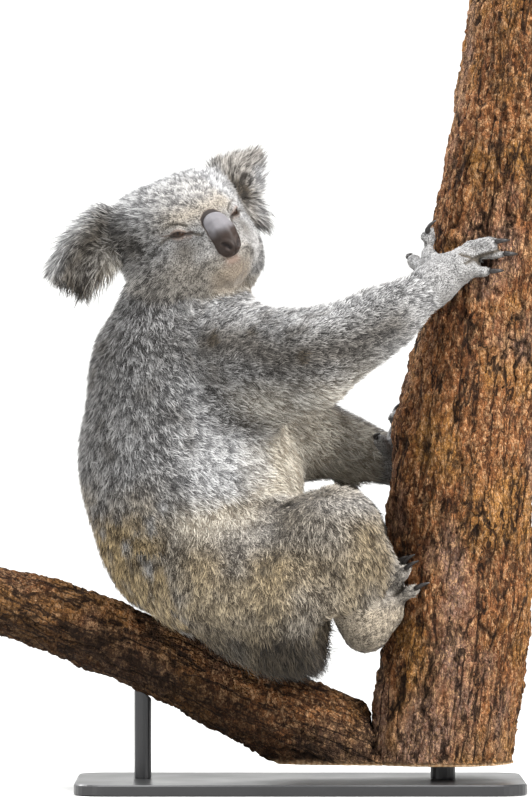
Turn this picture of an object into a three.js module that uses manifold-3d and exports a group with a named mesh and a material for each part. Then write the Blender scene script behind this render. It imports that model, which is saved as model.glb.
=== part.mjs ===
// A life-size koala, sitting on a branch and holding the tree it grows from, on a plain display stand.
//
// Millimetres, +Z up. The koala faces +X, towards the tree, and its right side is at -Y. The origin is the
// middle of the underside of the stand's base.
//
// The flesh is one smooth field, the blend of eggs and tapered limbs. Each sub-part is a closed skin of rays
// that run from a line inside it to the field's surface, and neighbours are parted by thin cuts.

import * as THREE from "three";
import { mergeVertices } from "three/addons/utils/BufferGeometryUtils.js";
import Module from "manifold-3d";

const wasm = await Module();
wasm.setup();

const point = (x, y, z) => new THREE.Vector3(x, y, z);
const inRadians = THREE.MathUtils.degToRad;

// ---------------------------------------------------------------- driving dimensions

const CUT = 0.4; // clear gap between neighbours
const GROWN = 0.6; // how far a neighbour's outline is grown before it is cut away

// The stand, and the level where the tree is sawn off above it
const BASE = { length: 470, depth: 240, thickness: 12, corner: 30, bevel: 1.5 };
const SAWN_LEVEL = 28;
const RODS = [
  { name: "stand_rod_tree", x: 150, radius: 13, top: SAWN_LEVEL - CUT },
  { name: "stand_rod_branch", x: -165, radius: 9, top: 130 },
];

// The tree and its branch: centre line and radius
const onMiddle = ([x, z]) => point(x, 0, z);
const TREE = {
  line: [
    [144, -20],
    [146, 28],
    [153, 95],
    [163, 158],
    [169, 262],
    [168, 325],
    [175, 368],
    [184, 410],
    [196, 462],
    [203, 515],
    [214, 590],
    [220, 620],
    [236, 703],
    [258, 830],
    [262, 852],
  ].map(onMiddle),
  radius: 77,
  flare: 7, // how much wider it is at its foot
  flareHeight: 90,
};
const BRANCH = {
  line: [
    [-345, 204],
    [-315, 198],
    [-259, 182],
    [-204, 163],
    [-147, 139],
    [-91, 113],
    [-36, 86],
    [20, 57],
    [110, 10],
  ].map(onMiddle),
  radius: 38,
  rootRadius: 56,
};
const BARK = { relief: 1.6, ridges: 5, twist: 0.012 }; // height of the ridges, their number, radians per mm

// The torso: eggs as centre and radii
const TORSO = {
  rump: { at: point(-114, 0, 262), radii: point(98, 98, 92) },
  middle: { at: point(-128, 0, 345), radii: point(110, 101, 105) },
  belly: { at: point(-84, 0, 305), radii: point(86, 88, 88) },
  chest: { at: point(-124, -2, 444), radii: point(101, 88, 82) },
};
const TORSO_BLEND = 40;
const NECK = {
  at: point(-119, -10, 512),
  radii: point(67, 55, 76),
  half: point(0, 0, 32), // from its middle to the end of the line that its rays leave
  nape: point(-206, 0, 474), // the cut between neck and torso runs through the nape and the throat
  throat: point(-45, 0, 502),
  cell: 20, // how far round the neck its own piece reaches
};

// Limbs: joints from the body outwards, with the radius at each. A pit is the loose skin under an arm.
const LIMB_BLEND = 26; // how softly a limb runs into the torso
const LIMB_CELL = 12; // how far round a limb its own piece reaches
const ARMS = {
  right: {
    joints: [point(-66, -62, 455), point(8, -92, 452), point(84, -92, 492), point(142, -77, 532)],
    radii: [58, 52, 37, 22],
    pit: { from: point(-78, -54, 412), to: point(2, -80, 428), radii: [40, 38] },
    shoulder: { at: point(-58, -56, 450), normal: point(0.62, -0.78, 0.05) },
    elbow: 0.4, // where the elbow is cut, as a share of the arm's length
  },
  left: {
    joints: [point(-68, 62, 438), point(10, 80, 368), point(52, 80, 356), point(100, 74, 343)],
    radii: [56, 45, 37, 24],
    pit: { from: point(-78, 54, 400), to: point(-4, 70, 372), radii: [38, 36] },
    shoulder: { at: point(-60, 52, 430), normal: point(0.62, 0.78, -0.15) },
    elbow: 0.45,
  },
};
const WRIST = 0.8; // where the hand begins between the last joint and the wrist
const LEGS = {
  right: {
    joints: [point(-72, -52, 222), point(-9, -68, 203), point(33, -92, 267), point(68, -78, 172)],
    radii: [82, 75, 53, 25],
    groin: { at: point(-40, -45, 230), normal: point(0.45, -0.89, 0) },
  },
  left: {
    joints: [point(-72, 52, 222), point(-9, 68, 203), point(40, 96, 262), point(72, 78, 170)],
    radii: [82, 75, 52, 25],
    groin: { at: point(-40, 45, 230), normal: point(0.45, 0.89, 0) },
  },
};
const ANKLE = 0.72; // where the foot begins between knee and heel

// Hands and feet lie on the bark. A place there is a turn round the tree, in degrees from the side that the
// limb comes from, and a height above the wrist or heel. Off is a distance from the bark.
const HAND = {
  pad: { turn: -28, rise: 16, off: 13, radius: 17 },
  digits: [
    { places: [[-29, 35], [-17, 40.5], [-7, 42]], radius: 6.6, off: 5 },
    { places: [[-31, 21], [-22, 26], [-12, 30], [0, 29.5]], radius: 7.2, off: 6 },
    { places: [[-30, 6], [-20, 10], [-8, 11]], radius: 6.6, off: 5 },
    { places: [[-50, 20], [-64, 37], [-61, 50]], radius: 9.8, off: 12 },
    { places: [[-52, 9], [-70, 19], [-83, 26]], radius: 8.4, off: 15 },
  ],
  claw: { length: 14, radius: 3.3, drop: 5.5 },
};
const FOOT = {
  pad: { turn: -54, rise: 16, off: 17, radius: 18 },
  digits: [
    { places: [[-52, 29], [-42, 36], [-34, 41]], radius: 7.6, off: 6 },
    { places: [[-64, 36], [-54, 50], [-42, 61]], radius: 8.8, off: 8 },
    { places: [[-69, 37], [-59, 55], [-47, 67]], radius: 4.8, off: 5 },
    { places: [[-74, 34], [-65, 52], [-54, 64.5]], radius: 4.8, off: 5 },
    { places: [[-60, 2], [-70, 14], [-77, 26]], radius: 9, off: 8, bare: true },
  ],
  claw: { length: 16, radius: 3.2, drop: 5 },
};

// The head's own frame: x to its right, y forwards, z up, turned as below. Sizes in it are to the coat's tips.
const HEAD = { at: point(-115, -22, 578), turn: 25.6, pitch: 9.4, roll: 20.3, blend: 15 };
const SKULL = {
  cranium: { at: point(0, -10, 10), radii: point(68, 64, 61) },
  bridge: { at: point(0, 42, 10), radii: point(18, 26, 22) },
  muzzle: { at: point(0, 47, -18), radii: point(33, 31, 30) },
  jaw: { at: point(0, 30, -43), radii: point(35, 37, 27) },
};
const SKULL_PAIRS = {
  temple: { at: point(32, -20, 27), radii: point(44, 44, 44) },
  cheek: { at: point(29, 14, -22), radii: point(36, 39, 39) },
  ruff: { at: point(36, -14, -31), radii: point(42, 48, 43) },
  brow: { at: point(27, 38, 22), radii: point(19, 13, 13) },
};
const NOSE = {
  top: { at: point(0, 67, 8), radii: point(14, 15, 12) },
  middle: { at: point(0, 73, -7), radii: point(14.5, 17, 15) },
  tip: { at: point(0, 74, -22), radii: point(13, 15, 12) },
};
const EYE = { at: point(32.9, 44.2, 9), radius: 8.5 };
const EYE_HOLLOW = { at: point(38, 51.7, 8.8), radii: point(10, 9, 4.5) }; // open in front of the eye

// The ear flap's outline is a circle that stands out where a lock of the fringe does. Angles run upwards from
// straight outwards, and a spread is half a lock's width, in degrees.
const EAR = {
  root: point(58, -8, 24),
  sweep: 30, // how far the flaps are swept back, degrees
  middle: 48, // from the root to the middle of the circle
  radius: 40,
  cup: 9, // how far the rim stands forward of the middle
  thickness: 17,
  rim: 5,
};
const CROWN_LOCK = { angle: 139, reach: 25, spread: 30 };
const EAR_LOCKS = {
  right: [CROWN_LOCK, { angle: -7, reach: 17, spread: 25 }, { angle: -60, reach: 14, spread: 22 }],
  left: [
    CROWN_LOCK,
    { angle: 75, reach: 9, spread: 25 },
    { angle: 35, reach: 30, spread: 18 },
    { angle: -25, reach: -10, spread: 20 },
    { angle: -80, reach: 13, spread: 16 },
  ],
};

// ---------------------------------------------------------------- materials

const paint = (colour, roughness, metalness = 0) =>
  new THREE.MeshStandardMaterial({ color: colour, roughness, metalness });
const MATERIALS = {
  fur: paint(0x9a9791, 0.95),
  earFur: paint(0xb5b2ab, 0.95),
  nose: paint(0x6f676b, 0.5),
  eye: paint(0x3a2314, 0.1),
  claw: paint(0x2b2826, 0.4),
  bark: paint(0x8a4f2c, 0.95),
  stand: paint(0x26272a, 0.45, 0.2),
};

// ---------------------------------------------------------------- fields: distance to a surface, negative inside

const egg = ({ at, radii }) => (p) => {
  const q = p.clone().sub(at).divide(radii);
  const near = q.length();
  const slope = q.divide(radii).length();
  return slope < 1e-9 ? -Math.min(radii.x, radii.y, radii.z) : (near * (near - 1)) / slope;
};

const limb = (from, to, [fromRadius, toRadius]) => {
  const along = to.clone().sub(from);
  return (p) => {
    const q = p.clone().sub(from);
    const share = THREE.MathUtils.clamp(q.dot(along) / along.lengthSq(), 0, 1);
    const radius = THREE.MathUtils.lerp(fromRadius, toRadius, share);
    return q.addScaledVector(along, -share).length() - radius;
  };
};

const softMin = (a, b, softness) => {
  const overlap = Math.max(softness - Math.abs(a - b), 0) / softness;
  return Math.min(a, b) - (overlap * overlap * softness) / 4;
};

const blend = (softness, ...fields) => (p) =>
  fields.map((field) => field(p)).reduce((a, b) => softMin(a, b, softness));

// A chain of limbs through joints, each as wide as its radius.
const chain = (softness, joints, radii) =>
  blend(softness, ...joints.slice(1).map((to, i) => limb(joints[i], to, [radii[i], radii[i + 1]])));

const meet = (...fields) => (p) => Math.max(...fields.map((field) => field(p)));
const join = (...fields) => (p) => Math.min(...fields.map((field) => field(p)));
const grown = (field, reach) => (p) => field(p) - reach;
const mirrored = ({ at, radii }) => ({ at: point(-at.x, at.y, at.z), radii });

// ---------------------------------------------------------------- solids

function solidOf(geometry) {
  const bare = geometry.clone();
  bare.deleteAttribute("normal");
  bare.deleteAttribute("uv");
  const merged = mergeVertices(bare, 1e-4);
  return new wasm.Manifold(
    new wasm.Mesh({
      numProp: 3,
      vertProperties: merged.attributes.position.array,
      triVerts: new Uint32Array(merged.index.array),
    }),
  );
}

function geometryOf(solid) {
  const mesh = solid.getMesh();
  const geometry = new THREE.BufferGeometry();
  geometry.setAttribute("position", new THREE.BufferAttribute(mesh.vertProperties, 3));
  geometry.setIndex(new THREE.BufferAttribute(mesh.triVerts, 1));
  geometry.computeVertexNormals();
  return geometry;
}

// Rows of points, each row a closed loop, joined into a skin that ends in a point at both ends.
function skinOf(first, rows, last) {
  const sides = rows[0].length;
  const positions = [first, ...rows.flat(), last].flatMap((p) => [p.x, p.y, p.z]);
  const at = (row, side) => 1 + row * sides + (side % sides);
  const end = 1 + rows.length * sides;
  const faces = [];
  for (let side = 0; side < sides; side++) {
    faces.push(0, at(0, side + 1), at(0, side));
    for (let row = 0; row + 1 < rows.length; row++) {
      faces.push(at(row, side), at(row, side + 1), at(row + 1, side + 1));
      faces.push(at(row, side), at(row + 1, side + 1), at(row + 1, side));
    }
    faces.push(end, at(rows.length - 1, side), at(rows.length - 1, side + 1));
  }
  const geometry = new THREE.BufferGeometry();
  geometry.setAttribute("position", new THREE.Float32BufferAttribute(positions, 3));
  geometry.setIndex(faces);
  return solidOf(geometry);
}

const range = (count, from = 0) => Array.from({ length: count }, (_, i) => from + i);
const fullTurn = (sides) => range(sides).map((side) => (2 * Math.PI * side) / sides);

// The direction of a line at a share of its length, and two directions across it.
function axesAt(line, share, reference) {
  const along = line.getTangentAt(share);
  const across = reference.clone().cross(along).normalize();
  return { along, across, other: along.clone().cross(across) };
}

const curveThrough = (joints) => new THREE.CatmullRomCurve3(joints, false, "centripetal");

// How far a ray runs inside a field.
function runOf(field, origin, direction, reach) {
  let run = 0;
  while (run < reach) {
    const depth = -field(origin.clone().addScaledVector(direction, run));
    if (depth < 0.02) return run;
    run += Math.max(depth * 0.7, 0.1);
  }
  return reach;
}

// A closed solid: rings of rays leave a line inside the field and stop at its surface. At each end the
// rays fan out to a pole.
function wrap(field, joints, { sides, rings, fan = 3, reference = point(0, 1, 0), reach = 260 }) {
  const line = curveThrough(joints);
  const hit = (share, tilt, turn) => {
    const { along, across, other } = axesAt(line, share, reference);
    const direction = across.multiplyScalar(Math.cos(tilt) * Math.cos(turn));
    direction.addScaledVector(other, Math.cos(tilt) * Math.sin(turn));
    direction.addScaledVector(along, Math.sin(tilt));
    const origin = line.getPointAt(share);
    return origin.addScaledVector(direction, runOf(field, origin, direction, reach));
  };
  const row = (share, tilt) => fullTurn(sides).map((turn) => hit(share, tilt, turn));
  const quarter = Math.PI / 2;
  const rows = [
    ...range(fan, 1).map((i) => row(0, quarter * (i / (fan + 1) - 1))),
    ...range(rings + 1).map((i) => row(i / rings, 0)),
    ...range(fan, 1).map((i) => row(1, (quarter * i) / (fan + 1))),
  ];
  return skinOf(hit(0, -quarter, 0), rows, hit(1, quarter, 0));
}

// A tube along a line, whose radius is a function of the share of its length and of the turn round it.
function tube(joints, radiusAt, { sides, rings, reference = point(0, 1, 0) }) {
  const line = curveThrough(joints);
  const rows = range(rings + 1).map((ring) => {
    const share = ring / rings;
    const { across, other } = axesAt(line, share, reference);
    return fullTurn(sides).map((turn) => {
      const radius = radiusAt(share, turn);
      const rim = line.getPointAt(share).addScaledVector(across, radius * Math.cos(turn));
      return rim.addScaledVector(other, radius * Math.sin(turn));
    });
  });
  return skinOf(line.getPointAt(0), rows, line.getPointAt(1));
}

function makeEgg({ at, radii }, sides) {
  const ball = new THREE.SphereGeometry(1, sides, Math.round(sides * 0.6));
  return solidOf(ball.scale(radii.x, radii.y, radii.z).translate(at.x, at.y, at.z));
}

// What is left of a solid in front of a plane. It stays clear of the plane by half a cut, but what makes
// room for a neighbour runs past it.
function inFront(solid, { at, normal }, gap = CUT / 2) {
  const unit = normal.clone().normalize();
  return solid.trimByPlane(unit.toArray(), unit.dot(at) + gap);
}
const ROOM = -CUT / 2;
const behind = (solid, { at, normal }) => inFront(solid, { at, normal: normal.clone().negate() });

const without = (solid, ...others) => others.reduce((left, other) => left.subtract(other), solid);
const together = (solid, ...others) => others.reduce((made, other) => made.add(other), solid);

// The largest body of a solid, so that no sliver of a cut is left beside it.
const largest = (solid) => solid.decompose().reduce((a, b) => (b.volume() > a.volume() ? b : a));

// ---------------------------------------------------------------- the perch

const treeLength = curveThrough(TREE.line).getLength();
const branchLength = curveThrough(BRANCH.line).getLength();

const ridgesAt = (along, turn) =>
  BARK.relief * Math.sin(BARK.ridges * turn + BARK.twist * along) +
  BARK.relief * 0.6 * Math.sin(3 * turn - 2 * BARK.twist * along);

const treeRadius = (growth) => (share, turn) => {
  const along = share * treeLength;
  const foot = Math.max(0, 1 - along / TREE.flareHeight);
  return TREE.radius + growth + TREE.flare * foot * foot + ridgesAt(along, turn);
};
const branchRadius = (growth) => (share, turn) => {
  const plain = THREE.MathUtils.lerp(BRANCH.radius, BRANCH.rootRadius, share ** 2);
  return plain + growth + ridgesAt(share * branchLength, turn);
};

const aboveSaw = { at: point(0, 0, SAWN_LEVEL), normal: point(0, 0, 1) };
const makeTree = (growth) => tube(TREE.line, treeRadius(growth), { sides: 16, rings: 14 });
const makeBranch = (growth) => tube(BRANCH.line, branchRadius(growth), { sides: 14, rings: 10 });
const treeClear = makeTree(GROWN);
const branchClear = makeBranch(GROWN);

// The tree's middle at a height.
function treeMiddle(height) {
  const above = TREE.line.findIndex((p) => p.z >= height);
  const [low, high] = [TREE.line[above - 1], TREE.line[above]];
  return low.clone().lerp(high, (height - low.z) / (high.z - low.z));
}

// A place on the bark, on the side that a limb comes from.
function onBark(side, turn, height, off) {
  const out = TREE.radius + off;
  const angle = inRadians(turn);
  return treeMiddle(height).add(point(out * Math.sin(angle), side * out * Math.cos(angle), 0));
}

// ---------------------------------------------------------------- the flesh as fields

const torsoField = blend(TORSO_BLEND, ...Object.values(TORSO).map(egg));
const neckField = egg(NECK);
const coreField = blend(TORSO_BLEND, torsoField, neckField);
const armField = ({ joints, radii, pit }) =>
  blend(16, chain(14, joints, radii), limb(pit.from, pit.to, pit.radii));
const legField = ({ joints, radii }) => chain(22, joints, radii);
const fleshField = join(
  blend(LIMB_BLEND, coreField, ...Object.values(ARMS).map(armField)),
  blend(LIMB_BLEND, coreField, ...Object.values(LEGS).map(legField)),
);

// ---------------------------------------------------------------- the head

// The head's frame in the world.
function headFrame() {
  const [turn, pitch, roll] = [HEAD.turn, HEAD.pitch, HEAD.roll].map(inRadians);
  const forward = point(Math.sin(turn) * Math.cos(pitch), -Math.cos(turn) * Math.cos(pitch), Math.sin(pitch));
  const level = point(-Math.cos(turn), -Math.sin(turn), 0);
  const upright = level.clone().cross(forward);
  const right = level.clone().multiplyScalar(Math.cos(roll)).addScaledVector(upright, -Math.sin(roll));
  const up = level.multiplyScalar(Math.sin(roll)).addScaledVector(upright, Math.cos(roll));
  return new THREE.Matrix4().makeBasis(right, forward, up).setPosition(HEAD.at);
}
const headToWorld = headFrame();
const fromHead = (solid) => solid.transform(headToWorld.toArray());

const headField = blend(
  HEAD.blend,
  ...Object.values(SKULL).map(egg),
  ...Object.values(SKULL_PAIRS).flatMap((part) => [egg(part), egg(mirrored(part))]),
);
const noseField = blend(7, ...Object.values(NOSE).map(egg));

const headSpine = [point(0, -30, 4), point(0, 0, -2), point(0, 30, -10)];
const noseSpine = [point(0, 66, 8), point(0, 70, -6), point(0, 72, -20)];
const headUp = point(0, 0, 1);
const makeHead = (growth) =>
  wrap(grown(headField, growth), headSpine, { sides: 20, rings: 4, fan: 5, reference: headUp });
const makeNose = (growth) =>
  wrap(grown(noseField, growth), noseSpine, { sides: 10, rings: 4, fan: 2, reference: point(1, 0, 0) });

const onSide = (side, part) => (side > 0 ? part : mirrored(part));
function makeEye(side, growth) {
  const radius = EYE.radius + growth;
  return makeEgg(onSide(side, { at: EYE.at, radii: point(radius, radius, radius) }), 12);
}

// How far the ear's outline is from its middle.
function earEdge(turn, locks) {
  const reachOf = ({ angle, reach, spread }) => {
    const apart = THREE.MathUtils.euclideanModulo(THREE.MathUtils.radToDeg(turn) - angle + 180, 360) - 180;
    return reach * Math.exp(-((apart / spread) ** 2));
  };
  return locks.reduce((radius, lock) => radius + reachOf(lock), EAR.radius);
}

// A flap between a front and a back, cupped forwards.
function makeEar(side, locks, growth) {
  const sweep = inRadians(EAR.sweep);
  const outwards = point(side * Math.cos(sweep), -Math.sin(sweep), 0);
  const facing = point(side * Math.sin(sweep), Math.cos(sweep), 0);
  const middle = point(side * EAR.root.x, EAR.root.y, EAR.root.z).addScaledVector(outwards, EAR.middle);
  const place = (reach, turn, face) => {
    const radius = reach * (earEdge(turn, locks) + growth);
    const at = middle.clone().addScaledVector(outwards, radius * Math.cos(turn));
    at.addScaledVector(headUp, radius * Math.sin(turn));
    const half = THREE.MathUtils.lerp(EAR.rim, EAR.thickness, Math.sqrt(1 - reach * reach)) / 2;
    return at.addScaledVector(facing, EAR.cup * (reach * reach - 1) + face * (half + growth));
  };
  const reaches = [0.4, 0.75, 1];
  const loop = (reach, face) => fullTurn(20).map((turn) => place(reach, side * turn, face));
  const front = reaches.map((reach) => loop(reach, 1));
  const back = reaches.map((reach) => loop(reach, -1)).reverse();
  return skinOf(place(0, 0, 1), [...front, ...back], place(0, 0, -1));
}

// ---------------------------------------------------------------- hands and feet

// Where a digit's joints lie, on the side that the limb comes from.
const digitJoints = (side, limbEnd, { places, off }) =>
  places.map(([turn, rise]) => onBark(side, turn, limbEnd.z + rise, off));

function makeDigit(joints, radius) {
  const last = joints.length - 1;
  const past = joints[last].clone().sub(joints[last - 1]).normalize();
  const line = [...joints, joints[last].clone().addScaledVector(past, radius * 0.8)];
  const roundEnd = (share) => Math.sqrt(Math.max(0.12, 1 - Math.max(0, (share - 0.8) / 0.2) ** 2));
  const knuckle = (share) => 1 + 0.08 * Math.sin(share * 9);
  return tube(line, (share) => radius * roundEnd(share) * knuckle(share), {
    sides: 6,
    rings: 4,
    reference: point(0, 0.3, 1),
  });
}

// A claw leaves the top of a digit's tip, and curves down onto the bark.
function makeClaw(joints, radius, claw, growth) {
  const [before, tip] = joints.slice(-2);
  const ahead = tip.clone().sub(before).normalize();
  const out = tip.clone().sub(treeMiddle(tip.z)).setZ(0).normalize();
  const start = tip.clone().addScaledVector(ahead, radius * 0.2).addScaledVector(out, radius * 0.35);
  const bend = start.clone().addScaledVector(ahead, claw.length * 0.55).addScaledVector(out, 1.2);
  const end = start.clone().addScaledVector(ahead, claw.length).addScaledVector(out, -claw.drop);
  const root = start.clone().addScaledVector(ahead, -growth);
  return tube([root, bend, end], (share) => growth + Math.max(0.5, claw.radius * (1 - share) ** 0.7), {
    sides: 5,
    rings: 3,
    reference: out.clone().cross(ahead),
  });
}

// The hand or foot at the end of a limb, without its claws. It begins at the joint's plane, as wide as the
// limb is there.
function makePaw(side, limbEnd, endRadius, { pad, digits }, joint, growth) {
  const heart = onBark(side, pad.turn, limbEnd.z + pad.rise, pad.off);
  const rows = digits.map((digit) => digitJoints(side, limbEnd, digit));
  const roots = rows.map(([first], i) => limb(heart, first, [pad.radius * 0.8, digits[i].radius + 1]));
  const palmField = limb(limbEnd, heart, [endRadius, pad.radius]);
  const field = blend(8, limb(joint.at, limbEnd, [joint.radius, endRadius]), palmField, ...roots);
  const spine = [limbEnd, limbEnd.clone().lerp(heart, 0.5), heart];
  const palm = inFront(wrap(grown(field, growth), spine, { sides: 10, rings: 3, fan: 2, reach: 60 }), joint);
  const fingers = rows.map((joints, i) => {
    const start = heart.clone().lerp(joints[0], 0.7);
    return makeDigit([start, ...joints], digits[i].radius + growth);
  });
  return together(palm, ...fingers);
}

const makeClaws = (side, limbEnd, { digits, claw }, growth) =>
  digits
    .filter((digit) => !digit.bare)
    .map((digit) => makeClaw(digitJoints(side, limbEnd, digit), digit.radius, claw, growth));

// ---------------------------------------------------------------- the limbs, each in its own cell

const armOf = (arm, field, gap) => inFront(wrap(field, arm.joints, { sides: 16, rings: 8 }), arm.shoulder, gap);
const shapeArm = (arm) => armOf(arm, meet(fleshField, grown(armField(arm), LIMB_CELL)));
const armCell = (arm) => armOf(arm, grown(armField(arm), LIMB_CELL + GROWN), ROOM);

const thighOf = ({ joints: [hip, , knee], groin }, field, gap) =>
  inFront(wrap(field, [hip, knee], { sides: 18, rings: 5, fan: 4 }), groin, gap);
const shankOf = ({ joints: [, , knee, heel], groin }, field, gap) =>
  inFront(wrap(field, [knee, heel], { sides: 14, rings: 4, fan: 4 }), groin, gap);
const legRoom = (leg) => meet(fleshField, grown(legField(leg), LIMB_CELL));
const legCells = (leg) => {
  const roomy = grown(legField(leg), LIMB_CELL + GROWN);
  return [thighOf(leg, roomy, ROOM), shankOf(leg, roomy, ROOM)];
};

// The plane across a limb at a share of the line through its joints.
function crossPlane(joints, share) {
  const line = curveThrough(joints);
  return { at: line.getPointAt(share), normal: line.getTangentAt(share) };
}

// The plane that halves a bent knee, with the shank in front of it.
function kneePlane({ joints: [, thigh, knee, heel] }) {
  const up = thigh.clone().sub(knee).normalize();
  const down = heel.clone().sub(knee).normalize();
  return { at: knee, normal: down.sub(up) };
}

// The joint where the hand or foot begins, at a share of the limb's last length.
function lastJoint({ joints, radii }, share) {
  const [from, to] = joints.slice(-2);
  const [fromRadius, toRadius] = radii.slice(-2);
  const radius = THREE.MathUtils.lerp(fromRadius, toRadius, share);
  return { at: from.clone().lerp(to, share), normal: to.clone().sub(from), radius };
}

// ---------------------------------------------------------------- the object

const koala = new THREE.Group();

function add(name, material, solid) {
  const mesh = new THREE.Mesh(geometryOf(largest(solid)), material);
  mesh.name = name;
  koala.add(mesh);
}

const SIDES = ["right", "left"];
const handSide = { right: -1, left: 1 }; // along Y
const faceSide = { right: 1, left: -1 }; // along the head's x

const headClear = fromHead(makeHead(GROWN));
const armShapes = SIDES.map((name) => shapeArm(ARMS[name]));
const thighShapes = SIDES.map((name) => thighOf(LEGS[name], legRoom(LEGS[name])));
const shankShapes = SIDES.map((name) => shankOf(LEGS[name], legRoom(LEGS[name])));
const armClear = SIDES.map((name) => armCell(ARMS[name]));
const legClear = SIDES.flatMap((name) => legCells(LEGS[name]));

function addTrunk() {
  const throatToNape = NECK.throat.clone().sub(NECK.nape);
  const neckPlane = { at: NECK.throat, normal: throatToNape.cross(point(0, 1, 0)) };
  const neckSpine = [NECK.at.clone().sub(NECK.half), NECK.at.clone().add(NECK.half)];
  const neckOf = (field, gap) => inFront(wrap(field, neckSpine, { sides: 18, rings: 2 }), neckPlane, gap);
  const spine = [TORSO.rump.at, TORSO.middle.at, TORSO.chest.at];
  const torso = wrap(meet(fleshField, grown(coreField, NECK.cell)), spine, { sides: 20, rings: 7, fan: 4 });
  const ears = SIDES.map((name) => fromHead(makeEar(faceSide[name], EAR_LOCKS[name], GROWN)));
  const clear = [...armClear, ...legClear, headClear, ...ears];
  const neckCell = neckOf(grown(neckField, NECK.cell + GROWN), ROOM);
  add("neck", MATERIALS.fur, without(neckOf(meet(fleshField, grown(neckField, NECK.cell))), ...clear));
  add("torso", MATERIALS.fur, without(torso, neckCell, ...clear, ...thighShapes, branchClear));
}

function addHead() {
  const eyes = SIDES.map((name) => makeEye(faceSide[name], GROWN));
  const hollows = SIDES.map((name) => makeEgg(onSide(faceSide[name], EYE_HOLLOW), 10));
  add("head", MATERIALS.fur, fromHead(without(makeHead(0), makeNose(GROWN), ...eyes, ...hollows)));
  add("nose", MATERIALS.nose, fromHead(makeNose(0)));
  for (const name of SIDES) {
    const ear = without(makeEar(faceSide[name], EAR_LOCKS[name], 0), makeHead(GROWN));
    add(`ear_${name}`, MATERIALS.earFur, fromHead(ear));
    add(`eye_${name}`, MATERIALS.eye, fromHead(makeEye(faceSide[name], 0)));
  }
}

// A hand or foot, its claws, and what they leave clear.
function addPaw(name, kind, limbOf, paw, joint) {
  const limbEnd = limbOf.joints.at(-1);
  const shape = (growth) => makePaw(handSide[name], limbEnd, limbOf.radii.at(-1), paw, joint, growth);
  const nails = (growth) => makeClaws(handSide[name], limbEnd, paw, growth);
  add(`${kind}_${name}`, MATERIALS.fur, without(shape(0), treeClear, ...nails(GROWN)));
  nails(0).forEach((claw, i) => {
    add(`claw_${kind}_${name}_${i + 1}`, MATERIALS.claw, without(claw, treeClear));
  });
  return together(shape(GROWN), ...nails(GROWN));
}

function addArm(name, shape) {
  const arm = ARMS[name];
  const wrist = lastJoint(arm, WRIST);
  const elbow = crossPlane(arm.joints, arm.elbow);
  const hand = addPaw(name, "hand", arm, HAND, wrist);
  const free = without(behind(shape, wrist), headClear, treeClear, hand, ...legClear);
  add(`upper_arm_${name}`, MATERIALS.fur, behind(free, elbow));
  add(`forearm_${name}`, MATERIALS.fur, inFront(free, elbow));
}

function addLeg(name, thigh, shank) {
  const leg = LEGS[name];
  const knee = kneePlane(leg);
  const ankle = lastJoint(leg, ANKLE);
  const foot = addPaw(name, "foot", leg, FOOT, ankle);
  add(`thigh_${name}`, MATERIALS.fur, without(behind(thigh, knee), branchClear, treeClear));
  add(`shank_${name}`, MATERIALS.fur, without(behind(inFront(shank, knee), ankle), foot, treeClear));
}

function addPerch() {
  add("perch_tree", MATERIALS.bark, inFront(makeTree(0), aboveSaw));
  add("perch_branch", MATERIALS.bark, without(inFront(makeBranch(0), aboveSaw), treeClear));
}

function addStand() {
  const { length, depth, thickness, corner, bevel } = BASE;
  const [x, y] = [length / 2 - bevel - corner, depth / 2 - bevel - corner];
  const plan = new THREE.Shape();
  plan.absarc(x, -y, corner, -Math.PI / 2, 0);
  plan.absarc(x, y, corner, 0, Math.PI / 2);
  plan.absarc(-x, y, corner, Math.PI / 2, Math.PI);
  plan.absarc(-x, -y, corner, Math.PI, 1.5 * Math.PI);
  const plate = new THREE.ExtrudeGeometry(plan, {
    depth: thickness - 2 * bevel,
    bevelThickness: bevel,
    bevelSize: bevel,
    bevelSegments: 1,
    curveSegments: 4,
  });
  add("stand_base", MATERIALS.stand, solidOf(plate.translate(0, 0, bevel)));
  for (const { name, x: place, radius, top } of RODS) {
    const foot = thickness + CUT;
    const rod = new THREE.CylinderGeometry(radius, radius, top - foot, 20);
    rod.rotateX(Math.PI / 2).translate(place, 0, (top + foot) / 2);
    add(name, MATERIALS.stand, without(solidOf(rod), branchClear));
  }
}

addTrunk();
addHead();
SIDES.forEach((name, i) => addArm(name, armShapes[i]));
SIDES.forEach((name, i) => addLeg(name, thighShapes[i], shankShapes[i]));
addPerch();
addStand();

export default koala;
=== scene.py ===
"""A koala on a cut tree: one skin under a coat of tufts, its eyes, nose pad and claws, and the bark.

Metres, in the frame's own axes. The koala faces +X, towards the tree, and its right side is at -Y. Head
coordinates start at the head's middle and run to the head's own right, forwards and up.
"""

import itertools
import math
from types import SimpleNamespace

import bmesh
import bpy
import numpy as np
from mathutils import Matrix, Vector
from mathutils.bvhtree import BVHTree
from mathutils.kdtree import KDTree


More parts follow.
